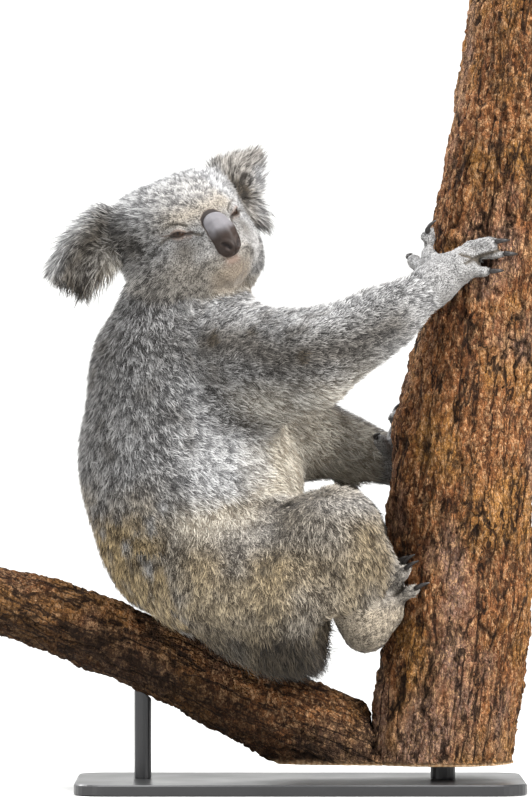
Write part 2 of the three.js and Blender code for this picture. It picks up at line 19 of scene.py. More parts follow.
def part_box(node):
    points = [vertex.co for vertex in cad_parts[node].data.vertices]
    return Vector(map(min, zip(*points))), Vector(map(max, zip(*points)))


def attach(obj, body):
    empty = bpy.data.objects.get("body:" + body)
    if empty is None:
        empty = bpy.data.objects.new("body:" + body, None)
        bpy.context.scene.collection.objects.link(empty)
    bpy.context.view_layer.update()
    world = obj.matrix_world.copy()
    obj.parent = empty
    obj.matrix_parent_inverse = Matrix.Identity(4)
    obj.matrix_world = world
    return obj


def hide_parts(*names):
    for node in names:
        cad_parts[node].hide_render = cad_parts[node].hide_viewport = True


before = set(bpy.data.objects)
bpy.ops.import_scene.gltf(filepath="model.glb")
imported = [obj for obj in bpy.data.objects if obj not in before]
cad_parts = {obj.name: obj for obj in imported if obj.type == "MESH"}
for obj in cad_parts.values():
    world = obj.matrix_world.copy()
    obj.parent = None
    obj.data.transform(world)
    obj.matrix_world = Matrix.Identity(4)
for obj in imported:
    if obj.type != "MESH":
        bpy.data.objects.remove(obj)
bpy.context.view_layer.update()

SIDES = ("right", "left")
FACE_SIDE = {"right": 1, "left": -1}  # along the head's x
SEED = 7
rng = np.random.default_rng(SEED)

# ---------------------------------------------------------------- sizes

SKIN_VOXEL = 0.0033
BARK_VOXEL = 0.0026
CLOSE_CUTS = 0.0007  # how far neighbours are grown before they are made one skin

# The head's own frame
HEAD_MIDDLE = np.array((-0.115, -0.022, 0.578))
HEAD_TURN = math.radians(25.6)
HEAD_PITCH = math.radians(9.4)
HEAD_ROLL = math.radians(20.3)

# Eyes: the ball's radius, and the slit between the lids, on the ball
EYE_OUT = (0.52, 0.85, 0.02)  # where the right eye looks, in head coordinates
EYE_RADIUS = 0.0084
EYE_SINK = 0.0006  # how far the ball lies under the lids
SLIT_HALF = 0.0104
SLIT_TILT = math.radians(13)
SLIT_UP = 0.0034
SLIT_DOWN = 0.0020
SLIT_DROP = 0.0024  # how far the slit lies below where the eye looks
LID = 0.0012  # how far the lids stand off the ball

CLAW_GROWTH = 0.0007  # makes up for what rounding takes off a claw

# Ears: the flap of skin inside the fringe, and the fringe's outline, as a circle with locks that stand out
EAR_ROOT = (0.058, -0.008, 0.024)
EAR_SWEEP = math.radians(30)
EAR_MIDDLE = 0.048
EAR_OUTLINE = 0.040
EAR_CUP = 0.009
FLAP_THICK = 0.008
FLAP_RIM = 0.005
EAR_CORNERS = 36  # points round the flap's rim
CROWN_LOCK = (139, 0.025, 30)  # angle and spread in degrees, reach
EAR_LOCKS = {
    "right": [CROWN_LOCK, (-7, 0.017, 25), (-60, 0.014, 22)],
    "left": [CROWN_LOCK, (75, 0.009, 25), (35, 0.030, 18), (-25, -0.010, 20), (-80, 0.013, 16)],
}

# The fringe's least length, and how much longer it is at some angle, over some spread, in degrees
EAR_FRINGE = {"right": (0.010, 0.011, -80, 50), "left": (0.009, 0.004, -60, 50)}
EAR_DROOP = {"right": 0.75, "left": 0.15}

# The coat by region: length, width and lift (degrees) of a tuft, tufts per square millimetre, and how deep
# the skin lies under the tips
COAT = {
    "trunk": (0.0120, 0.0011, 33, 0.37, 0.0054),
    "arm": (0.0105, 0.0010, 32, 0.36, 0.0046),
    "leg": (0.0110, 0.0011, 33, 0.32, 0.0050),
    "head": (0.0064, 0.0008, 33, 0.74, 0.0030),
    "ear": (0.0110, 0.0010, 24, 0.80, 0.0),
    "hand": (0.0042, 0.0008, 17, 0.60, 0.0009),
    "foot": (0.0052, 0.0010, 20, 0.50, 0.0012),
}
FACE_COAT = (0.0029, 0.0007, 24, 1.20, 0.0012)  # the same, round the eyes, nose and mouth
UNDERCOAT = 0.68  # the share of tufts that are short and straight
COAT_LAYERS = ((UNDERCOAT, 1, 0.72), (1 - UNDERCOAT, 2, 1.0))  # share of the tufts, sections, length
LAID_DOWN = 0.85  # how much of its lift a tuft has lost at its tip
STRAY = 0.36  # how far tufts stray from the lie of the coat
EAR_STRAY = 0.28
LOCK = 5  # how many tufts draw together at their tips
TRIANGLES_PER_PIECE = 195000
PATCH = 0.0015  # half the size of a tuft's patch in its coat's map

# The camera: level, far away, and aimed at the middle of the frame
VIEW_MIDDLE = (-0.0357, 0.0, 0.4095)
VIEW_HEIGHT = 0.840
VIEW_AWAY = 7.0

# ---------------------------------------------------------------- small helpers


def unit(v):
    return v / np.maximum(np.linalg.norm(v, axis=-1, keepdims=True), 1e-12)


def ramp(x, low, high):
    """From 0 at low to 1 at high, smoothly."""
    share = np.clip((x - low) / (high - low), 0, 1)
    return share * share * (3 - 2 * share)


def lump(distance, width):
    """1 at no distance, fading to nothing past width."""
    return np.exp(-((distance / width) ** 2))


def lattice(cells, seed):
    """A random number from -1 to 1 for each cell of a grid."""
    mixed = (cells[:, 0] * 73856093) ^ (cells[:, 1] * 19349663) ^ (cells[:, 2] * 83492791)
    mixed = (mixed + seed * 668265263) * 1274126177
    mixed = (mixed ^ (mixed >> 15)) * 2246822519
    return ((mixed ^ (mixed >> 13)) & 0xFFFFFF) / 0x7FFFFF - 1.0


def noise(points, size, seed=0):
    """Smooth noise from -1 to 1, with lumps about as wide as size."""
    scaled = points / size
    base = np.floor(scaled).astype(np.int64)
    part = scaled - base
    part = part * part * (3 - 2 * part)
    total = np.zeros(len(points))
    for corner in itertools.product((0, 1), repeat=3):
        share = np.prod(np.where(np.array(corner) == 1, part, 1 - part), axis=1)
        total += share * lattice(base + np.array(corner), seed)
    return total


def cells(points, size, seed=0):
    """Distances to the nearest two of points strewn about size apart, and the nearest one's number."""
    scaled = points / size
    base = np.floor(scaled).astype(np.int64)
    first = np.full(len(points), 9.0)
    second = np.full(len(points), 9.0)
    number = np.zeros(len(points))
    for step in itertools.product((-1, 0, 1), repeat=3):
        cell = base + np.array(step)
        shift = np.stack([lattice(cell, seed + axis) for axis in range(3)], axis=1)
        away = np.linalg.norm(cell + 0.5 + 0.42 * shift - scaled, axis=1)
        nearer = away < first
        second = np.where(nearer, first, np.minimum(second, away))
        number = np.where(nearer, lattice(cell, seed + 3), number)
        first = np.where(nearer, away, first)
    return first, second, number


def line_distance(points, line):
    """How far points are from a line through some places."""
    best = np.full(len(points), 9.0)
    for start, end in zip(line[:-1], line[1:]):
        start, along = np.array(start), np.array(end) - np.array(start)
        share = np.clip(((points - start) @ along) / (along @ along), 0, 1)
        best = np.minimum(best, np.linalg.norm(points - start - share[:, None] * along, axis=1))
    return best


def middle_of(node):
    """The middle of a node's box."""
    low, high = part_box(node)
    return np.array((low + high) / 2)


# ---------------------------------------------------------------- the head's coordinates


def head_axes():
    """The head's right, forward and up, as rows."""
    forward = np.array(
        (
            math.sin(HEAD_TURN) * math.cos(HEAD_PITCH),
            -math.cos(HEAD_TURN) * math.cos(HEAD_PITCH),
            math.sin(HEAD_PITCH),
        )
    )
    level = np.array((-math.cos(HEAD_TURN), -math.sin(HEAD_TURN), 0.0))
    upright = np.cross(level, forward)
    right = math.cos(HEAD_ROLL) * level - math.sin(HEAD_ROLL) * upright
    up = math.sin(HEAD_ROLL) * level + math.cos(HEAD_ROLL) * upright
    return np.array((right, forward, up))


HEAD_AXES = head_axes()


def to_head(points):
    return (points - HEAD_MIDDLE) @ HEAD_AXES.T


def from_head(points):
    return points @ HEAD_AXES + HEAD_MIDDLE


NOSE_MIDDLE = to_head(middle_of("nose"))
EYE_MIDDLE = {side: to_head(middle_of(f"eye_{side}")) for side in SIDES}


def eye_axes(side):
    """Where an eye looks, the way along its slit to the outer corner, and the way across it, as rows."""
    out = unit(np.array(EYE_OUT) * (FACE_SIDE[side], 1, 1))
    along = np.array((FACE_SIDE[side] * math.cos(SLIT_TILT), 0, math.sin(SLIT_TILT)))
    along = unit(along - out * (along @ out))
    across = np.cross(out, along) * FACE_SIDE[side] * -1
    if across[2] < 0:
        across = -across
    return np.array((out, along, across))


# ---------------------------------------------------------------- meshes as arrays


def points_of(mesh):
    flat = np.empty(len(mesh.vertices) * 3, np.float32)
    mesh.vertices.foreach_get("co", flat)
    return flat.reshape(-1, 3).astype(float)


def edges_of(mesh):
    flat = np.empty(len(mesh.edges) * 2, np.int32)
    mesh.edges.foreach_get("vertices", flat)
    return flat.reshape(-1, 2)


def triangles_of(mesh):
    mesh.calc_loop_triangles()
    flat = np.empty(len(mesh.loop_triangles) * 3, np.int32)
    mesh.loop_triangles.foreach_get("vertices", flat)
    return flat.reshape(-1, 3)


def set_points(mesh, points):
    mesh.vertices.foreach_set("co", points.astype(np.float32).ravel())
    mesh.update()


def normals_of(points, triangles):
    """Smooth normals, weighted by the triangles' areas."""
    a, b, c = (points[triangles[:, i]] for i in range(3))
    flat = np.cross(b - a, c - a)
    total = np.zeros_like(points)
    for corner in range(3):
        for axis in range(3):
            total[:, axis] += np.bincount(triangles[:, corner], flat[:, axis], len(points))
    return unit(total)


def neighbour_mean(values, edges):
    """The mean over each point's neighbours."""
    count = len(values)
    both = np.concatenate((edges[:, 0], edges[:, 1]))
    other = np.concatenate((edges[:, 1], edges[:, 0]))
    weight = np.maximum(np.bincount(both, minlength=count), 1)
    columns = [np.bincount(both, column[other], count) / weight for column in values.T]
    return np.stack(columns, axis=1)


def relax(values, edges, times, share=0.5):
    """Smooths values over a mesh. Times may differ from point to point."""
    times = np.broadcast_to(times, len(values))
    for done in range(int(np.max(times))):
        step = (share * np.clip(times - done, 0, 1))[:, None]
        values = values + step * (neighbour_mean(values, edges) - values)
    return values


def object_from(name, mesh):
    made = bpy.data.objects.new(name, mesh)
    bpy.context.scene.collection.objects.link(made)
    return made


def mesh_from(name, points, faces):
    mesh = bpy.data.meshes.new(name)
    mesh.from_pydata(points.tolist(), [], [list(map(int, face)) for face in faces])
    mesh.update()
    return mesh


def smooth_shaded(mesh):
    mesh.polygons.foreach_set("use_smooth", np.ones(len(mesh.polygons), bool))
    mesh.update()


def remeshed(name, mesh, voxel):
    """The mesh's outer surface made again from even squares."""
    rough = object_from(name, mesh)
    modifier = rough.modifiers.new("even", "REMESH")
    modifier.mode = "VOXEL"
    modifier.voxel_size = voxel
    found = rough.evaluated_get(bpy.context.evaluated_depsgraph_get())
    made = bpy.data.meshes.new_from_object(found)
    bpy.data.objects.remove(rough)
    bpy.data.meshes.remove(mesh)
    return made


def joined(parts):
    """Several meshes' points and faces as those of one."""
    faces, start = [], 0
    for points, found in parts:
        faces += [[int(i) + start for i in face] for face in found]
        start += len(points)
    return np.concatenate([points for points, _ in parts]), faces


def put_numbers(mesh, name, values):
    """A number for each point of a mesh, which materials can read."""
    layer = mesh.attributes.new(name, "FLOAT", "POINT")
    layer.data.foreach_set("value", np.ascontiguousarray(values, np.float32))


def welded(node):
    """A node's points and triangles, each corner one point."""
    built = bmesh.new()
    built.from_mesh(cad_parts[node].data)
    bmesh.ops.remove_doubles(built, verts=built.verts, dist=1e-5)
    bmesh.ops.triangulate(built, faces=built.faces)
    points = np.array([v.co for v in built.verts], float)
    faces = np.array([[v.index for v in face.verts] for face in built.faces])
    built.free()
    return points, faces


# ---------------------------------------------------------------- regions of the body

LIMBS = {"arm": ("upper_arm", "forearm"), "leg": ("thigh", "shank"), "hand": ("hand",), "foot": ("foot",)}


def regions():
    """Each region's nodes: the trunk, the head, and an ear, arm, leg, hand and foot on each side."""
    found = {"trunk": ["neck", "torso"], "head": ["head", "nose", "eye_right", "eye_left"]}
    for side in SIDES:
        found[f"ear_{side}"] = [f"ear_{side}"]
        for limb, parts in LIMBS.items():
            found[f"{limb}_{side}"] = [f"{part}_{side}" for part in parts]
    return found


REGIONS = regions()
REGION_NAMES = list(REGIONS)
FLESH = [node for nodes in REGIONS.values() for node in nodes if node[:4] not in ("nose", "eye_")]
KIND = {name: name.split("_")[0] for name in REGION_NAMES}


def region_tree():
    """A search tree of the solids, and each of its triangles' region."""
    parts, owner = [], []
    for number, name in enumerate(REGION_NAMES):
        for node in REGIONS[name]:
            points, faces = welded(node)
            parts.append((points, faces))
            owner += [number] * len(faces)
    points, faces = joined(parts)
    return BVHTree.FromPolygons(points.tolist(), faces), np.array(owner)


REGION_TREE, REGION_OWNER = region_tree()


def region_shares(points, edges, soften):
    """How far each point belongs to each region, from 0 to 1."""
    nearest = [REGION_TREE.find_nearest(Vector(p))[2] for p in points]
    shares = np.zeros((len(points), len(REGION_NAMES)))
    shares[np.arange(len(points)), REGION_OWNER[nearest]] = 1
    return relax(shares, edges, soften)


def share_of(shares, kind):
    """How far each point belongs to the regions of a kind."""
    return sum(shares[:, i] for i, name in enumerate(REGION_NAMES) if KIND[name] == kind)


# ---------------------------------------------------------------- the skin


def ear_axes(side):
    """The ear flap's middle, and its ways outwards, forwards and up, in head coordinates."""
    face = FACE_SIDE[side]
    outwards = np.array((face * math.cos(EAR_SWEEP), -math.sin(EAR_SWEEP), 0))
    facing = np.array((face * math.sin(EAR_SWEEP), math.cos(EAR_SWEEP), 0))
    root = np.array(EAR_ROOT) * (face, 1, 1)
    return root + outwards * EAR_MIDDLE, outwards, facing, np.array((0, 0, 1.0))


def bulges(turn, least, places):
    """A reach for each turn in degrees: the least one, and what stands out at some places."""
    reach = np.full(np.shape(turn), least)
    for angle, stands, spread in places:
        apart = (turn - angle + 180) % 360 - 180
        reach = reach + stands * np.exp(-((apart / spread) ** 2))
    return reach


def fringe_outline(side, turn):
    """How far from the ear's middle its fringe reaches, for each turn in degrees."""
    return bulges(turn, EAR_OUTLINE, EAR_LOCKS[side])


def fringe_length(side, turn):
    """How long the fringe is outside the flap of skin, for each turn in degrees."""
    least, more, angle, spread = EAR_FRINGE[side]
    return bulges(turn, least, [(angle, more, spread)])


def ear_flap(side):
    """The flap of skin in an ear, cupped forwards, inside its fringe."""
    middle, outwards, facing, up = ear_axes(side)
    reaches = (0.3, 0.6, 0.85, 1)
    turns = np.linspace(0, 360, EAR_CORNERS, endpoint=False)

    def place(reach, turn, face):
        radius = reach * (fringe_outline(side, turn) - fringe_length(side, turn))
        half = (FLAP_RIM + (FLAP_THICK - FLAP_RIM) * math.sqrt(1 - reach * reach)) / 2
        forward = EAR_CUP * (reach * reach - 1) + face * half
        angle = math.radians(turn)
        flat = outwards * math.cos(angle) + up * math.sin(angle)
        return middle + flat * radius + facing * forward

    rows = [(reach, 1) for reach in reaches] + [(reach, -1) for reach in reversed(reaches)]
    points = np.array([place(reach, turn, face) for reach, face in rows for turn in turns])
    rings = np.arange(len(points)).reshape(len(rows), len(turns))
    faces = []
    for ring, following in zip(rings[:-1], rings[1:]):
        faces += zip(ring, np.roll(ring, -1), np.roll(following, -1), following)
    faces += [tuple(rings[0]), tuple(rings[-1][::-1])]
    return from_head(points), faces


def rough_skin():
    """The solids of flesh grown into one and made again from even squares, with the ears as bare flaps."""
    parts = []
    for node in [*FLESH, "nose", "eye_right", "eye_left"]:
        if not node.startswith("ear"):
            points, faces = welded(node)
            parts.append((points + CLOSE_CUTS * normals_of(points, faces), faces))
    parts += [ear_flap(side) for side in SIDES]
    return remeshed("rough_skin", mesh_from("rough_skin", *joined(parts)), SKIN_VOXEL)


# How many times the skin of each region is smoothed, and how many more round the eyes
RELAX = {"trunk": 60, "arm": 44, "leg": 50, "head": 16, "ear": 3, "hand": 4, "foot": 4}
RELAX_EYES = 30
NOSE_SINK = 0.0048  # how much deeper the skin lies round the nose pad
NECK_SINK = 0.0100  # and where head and neck meet


def face_share(local):
    """1 round the eyes, nose and mouth, and 0 on the rest of the head."""
    forward = ramp(local[:, 1], 0.022, 0.050)
    below_brow = 1 - ramp(local[:, 2], 0.020, 0.042)
    return forward * below_brow


def inset_skin(mesh):
    """Smooths the rough skin and sinks it by the coat's depth."""
    points, edges, triangles = points_of(mesh), edges_of(mesh), triangles_of(mesh)
    shares = region_shares(points, edges, 8)
    times = sum(share_of(shares, kind) * count for kind, count in RELAX.items())
    local = to_head(points)
    near_eye = sum(lump(np.linalg.norm(local - EYE_MIDDLE[side], axis=1), 0.016) for side in SIDES)
    times = times + RELAX_EYES * np.clip(near_eye, 0, 1) * share_of(shares, "head")
    times = times * ramp(claw_distance(points), 0.036, 0.050) + 2
    points = relax(points, edges, times)
    depth = sum(share_of(shares, kind) * values[4] for kind, values in COAT.items())
    head = share_of(shares, "head")
    depth += head * face_share(local) * (FACE_COAT[4] - COAT["head"][4])
    depth += NOSE_SINK * (1 - ramp(nose_distance(local), 0.0008, 0.0030))
    depth += NECK_SINK * head * share_of(shares, "trunk")
    depth = relax(depth[:, None], edges, 3)[:, 0]
    points = points - depth[:, None] * normals_of(points, triangles)
    set_points(mesh, points)


def paw_tree():
    """A search tree of the hands and feet."""
    points, faces = joined([welded(node) for node in FLESH if node.startswith(("hand", "foot"))])
    return BVHTree.FromPolygons(points.tolist(), faces)


PAW_TREE = paw_tree()
CLAW_MIDDLES = [middle_of(name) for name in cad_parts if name.startswith("claw_")]


def claws_of(kind, side):
    return sorted(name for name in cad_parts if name.startswith(f"claw_{kind}_{side}"))


def claw_distance(points):
    """How far points are from the nearest claw's middle."""
    best = np.full(len(points), 1.0)
    for middle in CLAW_MIDDLES:
        best = np.minimum(best, np.linalg.norm(points - middle, axis=1))
    return best


WIDEST_GAP = 0.034  # claws further apart than this don't belong to neighbouring digits
GROOVE_DEPTH = 0.0034


def digit_gaps():
    """Where each gap between neighbouring digits ends, with its ways onwards and across."""
    found = []
    for kind, side in itertools.product(("hand", "foot"), SIDES):
        front = [middle_of(name) for name in claws_of(kind, side)][: 3 if kind == "hand" else 2]
        onwards = unit(np.mean(front, axis=0) - middle_of(f"{kind}_{side}"))
        for one, other in zip(front[:-1], front[1:]):
            across = other - one
            if np.linalg.norm(across) < WIDEST_GAP:
                across = unit(across - onwards * (across @ onwards))
                found.append(((one + other) / 2 - 0.006 * onwards, onwards, across))
    return found


DIGIT_GAPS = digit_gaps()


def gap_share(points):
    """1 in the grooves between the digits, which run back over the paw."""
    groove_half_width = 0.0026
    paw_reach = 0.035
    share = np.zeros(len(points))
    for end, onwards, across in DIGIT_GAPS:
        along, aside = (points - end) @ onwards, (points - end) @ across
        third = np.linalg.norm(points - end - along[:, None] * onwards - aside[:, None] * across, axis=1)
        here = ramp(along, -0.044, -0.022) * (1 - ramp(along, 0.0, 0.008)) * (third < paw_reach)
        share = np.maximum(share, lump(aside, groove_half_width) * here)
    return share


def keep_digits(points, edges, triangles):
    """Brings the skin round the claws back to the shape of the solids, which smoothing wears away."""
    hold = 1 - ramp(claw_distance(points), 0.038, 0.050)
    normals = normals_of(points, triangles)
    target = points.copy()
    for i in np.flatnonzero(hold > 0):
        target[i] = PAW_TREE.find_nearest(Vector(points[i]))[0]
    groove = relax(gap_share(points)[:, None], edges, 2)
    target = relax(target, edges, 3) - (0.0002 + GROOVE_DEPTH * groove) * normals
    return points + hold[:, None] * (target - points)


FACE_FLAT = (1, 0.35, 1)  # a fold's place counts less in the way the face looks


def mirrored_to_right(local):
    """Places of the head brought to its right side."""
    return np.abs(local) * (1, 0, 0) + local * (0, 1, 1)


def fold_distance(right, fold):
    """How far points of the right side of the face are from a fold, as seen from in front."""
    return line_distance(right * FACE_FLAT, [np.array(place) * FACE_FLAT for place in fold])


NOSTRIL = [(0.0050, 0.0860, -0.0250), (0.0075, 0.0855, -0.0215), (0.0098, 0.0840, -0.0195)]
NOSE_VOXEL = 0.0011


def make_nose_pad():
    """The bare pad's mesh, with a nostril low on each side and its top sunk into the brow."""
    points, faces = welded("nose")
    mesh = remeshed("nose_pad", mesh_from("nose_pad", points, faces), NOSE_VOXEL)
    points, edges, triangles = points_of(mesh), edges_of(mesh), triangles_of(mesh)
    points = relax(points, edges, 14)
    normals = normals_of(points, triangles)
    top = ramp(to_head(points)[:, 2], -0.010, 0.018)
    points = points + (0.0009 - 0.0014 * top)[:, None] * normals
    points = from_head(to_head(points) - top[:, None] * (0, 0.0008, 0.0030))
    local = to_head(points)
    nostril = line_distance(mirrored_to_right(local), NOSTRIL)
    hole = lump(nostril, 0.0021)
    wing = lump(nostril - 0.0042, 0.0018)
    cleft = lump(np.abs(local[:, 0]), 0.0011) * ramp(-local[:, 2], 0.016, 0.026)
    height = -0.0034 * hole + 0.0008 * wing - 0.0010 * cleft + 0.00025 * noise(points, 0.006, 31)
    set_points(mesh, points + height[:, None] * normals)
    smooth_shaded(mesh)
    put_numbers(mesh, "nostril", np.clip(1.1 * hole + 0.5 * cleft, 0, 1))
    put_numbers(mesh, "low", ramp(-local[:, 2] + 0.004 * noise(points, 0.008, 32), -0.002, 0.010))
    return mesh


NOSE_PAD = make_nose_pad()
NOSE_TREE = BVHTree.FromPolygons(*[part.tolist() for part in welded("nose")])


def nose_distance(local):
    """How far points of the face are outside the solid of the nose; less than zero in it."""
    away = np.full(len(local), 0.05)
    for i in np.flatnonzero(np.linalg.norm(local - NOSE_MIDDLE, axis=1) < 0.05):
        point = Vector(from_head(local[i]))
        nearest, facing, _, distance = NOSE_TREE.find_nearest(point)
        away[i] = math.copysign(distance, (point - nearest).dot(facing))
    return away


def nose_edge(local):
    """1 in the crease above and beside the nose pad, where painted shade goes."""
    return lump(np.maximum(nose_distance(local) - 0.0004, 0), 0.0009) * ramp(local[:, 2], -0.016, -0.002)


def refine(mesh, wanted):
    """Halves the edges of the faces whose middle, in head coordinates, is wanted."""
    built = bmesh.new()
    built.from_mesh(mesh)
    built.faces.ensure_lookup_table()
    middles = to_head(np.array([face.calc_center_median() for face in built.faces]))
    chosen = np.flatnonzero(wanted(middles))
    edges = list({edge for i in chosen for edge in built.faces[int(i)].edges})
    bmesh.ops.subdivide_edges(built, edges=edges, cuts=1, use_grid_fill=True)
    built.to_mesh(mesh)
    built.free()


def eye_distance(local):
    return np.minimum(*[np.linalg.norm(local - EYE_MIDDLE[side], axis=1) for side in SIDES])


# Folds of the face as lines in head coordinates, on the right side; the left side mirrors them
MOUTH = [
    (0, 0.0745, -0.0345),
    (0.0085, 0.0734, -0.0335),
    (0.018, 0.0694, -0.0320),
    (0.027, 0.0628, -0.0312),
    (0.032, 0.0575, -0.0340),
    (0.035, 0.0500, -0.0400),
]
LIP_CLEFT = [(0, 0.080, -0.031), (0, 0.0745, -0.0345)]
CHIN_SIDE = [
    (0.023, 0.064, -0.036),
    (0.021, 0.062, -0.046),
    (0.015, 0.058, -0.056),
    (0.006, 0.052, -0.062),
]
TEAR_LINE = [
    (0.0285, 0.054, 0.0050),
    (0.0255, 0.057, 0.0048),
    (0.0235, 0.060, 0.0025),
    (0.0200, 0.063, -0.0010),
]
OUTER_FOLD = [(0.0418, 0.0440, 0.0086), (0.0465, 0.0405, 0.0082), (0.0507, 0.0372, 0.0070)]
BROW_FOLD = [
    (0.026, 0.055, 0.0130),
    (0.032, 0.0515, 0.0180),
    (0.0395, 0.046, 0.0205),
    (0.046, 0.041, 0.0190),
    (0.0490, 0.0390, 0.0140),
]
BROW_ROLL = [(x, y, z + 0.0035) for x, y, z in BROW_FOLD[:4]]


def fold_depth(local):
    """How far the face's folds sink, and its rolls rise, along the normal."""
    right = mirrored_to_right(local)
    flat = np.array((1, 0.6, 1))
    mouth = line_distance(right * flat, [np.array(p) * flat for p in MOUTH])
    above = right[:, 2] - np.interp(right[:, 0], [p[0] for p in MOUTH], [p[2] for p in MOUTH])
    in_reach = ramp(right[:, 1], 0.030, 0.042)
    height = -0.0030 * lump(mouth, 0.0015) * in_reach
    height += 0.0014 * lump(above - 0.0050, 0.004) * lump(mouth, 0.009) * in_reach
    lower_lip = lump(above + 0.0060, 0.0042) * (1 - ramp(right[:, 0], 0.013, 0.021))
    height += 0.0022 * lower_lip * lump(mouth, 0.010) * in_reach
    height -= 0.0016 * lump(line_distance(right, LIP_CLEFT), 0.0012)
    height -= 0.0012 * lump(fold_distance(right, CHIN_SIDE), 0.0042)
    height -= 0.0014 * lump(fold_distance(right, TEAR_LINE), 0.0016)
    height -= 0.0018 * lump(fold_distance(right, OUTER_FOLD), 0.0018)
    height -= 0.0018 * lump(fold_distance(right, BROW_FOLD), 0.0015)
    height += 0.0012 * lump(fold_distance(right, BROW_ROLL), 0.0022)
    return height


def lids(local, side):
    """Lays the skin over an eyeball as two lids with a slit between them."""
    out, along, across = eye_axes(side)
    away = local - EYE_MIDDLE[side]
    distance = np.linalg.norm(away, axis=1)
    ahead = away @ out
    a = np.arctan2(away @ along, ahead) * EYE_RADIUS
    b = np.arctan2(away @ across, ahead) * EYE_RADIUS + SLIT_DROP
    share = np.clip(1 - (a / SLIT_HALF) ** 2, 0, 1)
    arch = 0.0004 * share
    half = np.where(b > arch, SLIT_UP, SLIT_DOWN) * share**0.8
    past = np.maximum(np.abs(a) - SLIT_HALF, 0)
    from_rim = np.hypot(np.abs(b - arch) - half, past) * np.sign(np.abs(b - arch) - half + past)
    crease = 0.0009 * lump(from_rim - 0.0042, 0.0009) * (b > arch)
    lid = LID + 0.0006 * ramp(from_rim, 0.0006, 0.003) - crease
    wanted = EYE_RADIUS + np.where(from_rim < 0, -0.0012, lid * ramp(from_rim, -0.0001, 0.0006))
    hold = (1 - ramp(from_rim, 0.0045, 0.0105)) * (1 - ramp(distance, 0.0125, 0.0180)) * (ahead > 0)
    target = EYE_MIDDLE[side] + unit(away) * wanted[:, None]
    lowered = local + hold[:, None] * (target - local)
    return lowered, from_rim, hold


def make_skin():
    """The skin's mesh, points, edges and triangles, and how far each point is from the lids' rims."""
    mesh = rough_skin()
    inset_skin(mesh)
    head_reach = 0.12

    def in_face(forward, up):
        """Faces of the head that lie further forward and lower than this."""
        return lambda m: (m[:, 1] > forward) & (m[:, 2] < up) & (np.linalg.norm(m, axis=1) < head_reach)

    refine(mesh, in_face(0.022, 0.036))
    refine(mesh, in_face(0.046, 0.020))
    refine(mesh, lambda m: eye_distance(m) < 0.0150)
    refine(mesh, lambda m: (claw_distance(from_head(m)) < 0.020) | (gap_share(from_head(m)) > 0.05))
    points, edges, triangles = points_of(mesh), edges_of(mesh), triangles_of(mesh)
    points = keep_digits(points, edges, triangles)
    local = to_head(points)
    on_face = (local[:, 1] > 0.020) & (np.linalg.norm(local, axis=1) < 0.11)
    points = relax(points, edges, 8 * on_face)
    normals = normals_of(points, triangles)
    local = to_head(points)
    points = points + (fold_depth(local) * on_face)[:, None] * normals
    local = to_head(points)
    rims = []
    for side in SIDES:
        local, from_rim, hold = lids(local, side)
        rims.append(np.where(hold > 0.02, np.abs(from_rim), 9.0))
    points = np.where(on_face[:, None], from_head(local), points)
    set_points(mesh, points)
    smooth_shaded(mesh)
    return mesh, points, edges, triangles, np.minimum(*rims)


# ---------------------------------------------------------------- the lie of the coat


def towards(points, places):
    """The way from each point to the nearest of some places."""
    away = np.array(places)[None] - points[:, None]
    nearest = np.argmin(np.linalg.norm(away, axis=2), axis=1)
    return unit(away[np.arange(len(points)), nearest])


def limb_flow(points, nodes):
    """Down a limb, from one node's middle to the next."""
    middles = [middle_of(node) for node in nodes]
    pairs = list(zip(middles[:-1], middles[1:]))
    ways = np.array([unit(end - start) for start, end in pairs])
    nearness = np.stack([lump(line_distance(points, pair), 0.05) + 1e-9 for pair in pairs])
    return unit(np.einsum("in,ij->nj", nearness, ways))


def flow_of(name, points):
    """The way the coat lies in a region."""
    kind, _, side = name.partition("_")
    if kind == "trunk":
        back = ramp(-points[:, 0], 0.10, 0.20)[:, None]
        return np.array((0.85, 0, -0.45)) * (1 - back) + np.array((0.25, 0, -0.9)) * back
    if kind == "head":
        return unit(points - from_head(NOSE_MIDDLE)) + np.array((0, 0, -0.25))
    if kind == "ear":
        _, outwards, _, up = ear_axes(side)
        flat = ear_place(to_head(points), side)
        ray = unit(flat + (0.010, 0))
        upper = ramp(flat[:, 1:], -0.020, 0.010)
        round_it = np.stack((ray[:, 1], -ray[:, 0]), axis=1) * upper
        droop = (0, -0.5) - (0, 1.2) * (1 - upper)
        way = ray + EAR_DROOP[side] * (round_it + droop) + 0.5 * unit(flat + (EAR_MIDDLE, 0))
        return (way[:, :1] * outwards + way[:, 1:] * up) @ HEAD_AXES
    if kind == "arm":
        nodes = [f"{part}_{side}" for part in ("upper_arm", "forearm", "hand")]
        return limb_flow(points, nodes) + np.array((0, 0, -0.3))
    if kind == "leg":
        to_heel = (ramp(points[:, 0], -0.005, 0.030) * ramp(-points[:, 2], -0.200, -0.170))[:, None]
        return np.array((0.30, 0, -0.95)) * (1 - to_heel) + np.array((0.95, 0, -0.30)) * to_heel
    return towards(points, [middle_of(claw) for claw in claws_of(kind, side)])


def lie_of_coat(points, edges, normals, shares):
    """The way the coat lies along the skin, from region to region, with some swirl."""
    flow = sum(shares[:, i, None] * flow_of(name, points) for i, name in enumerate(REGION_NAMES))
    swirl = np.stack([noise(points, 0.035, seed) for seed in (11, 12, 13)], axis=1)
    flow = unit(flow) + 0.35 * swirl * (1 - share_of(shares, "head") * 0.6)[:, None]
    for _ in range(3):
        flow = unit(flow - normals * np.sum(flow * normals, axis=1, keepdims=True))
        flow = relax(flow, edges, 4)
    return unit(flow - normals * np.sum(flow * normals, axis=1, keepdims=True))


# ---------------------------------------------------------------- markings

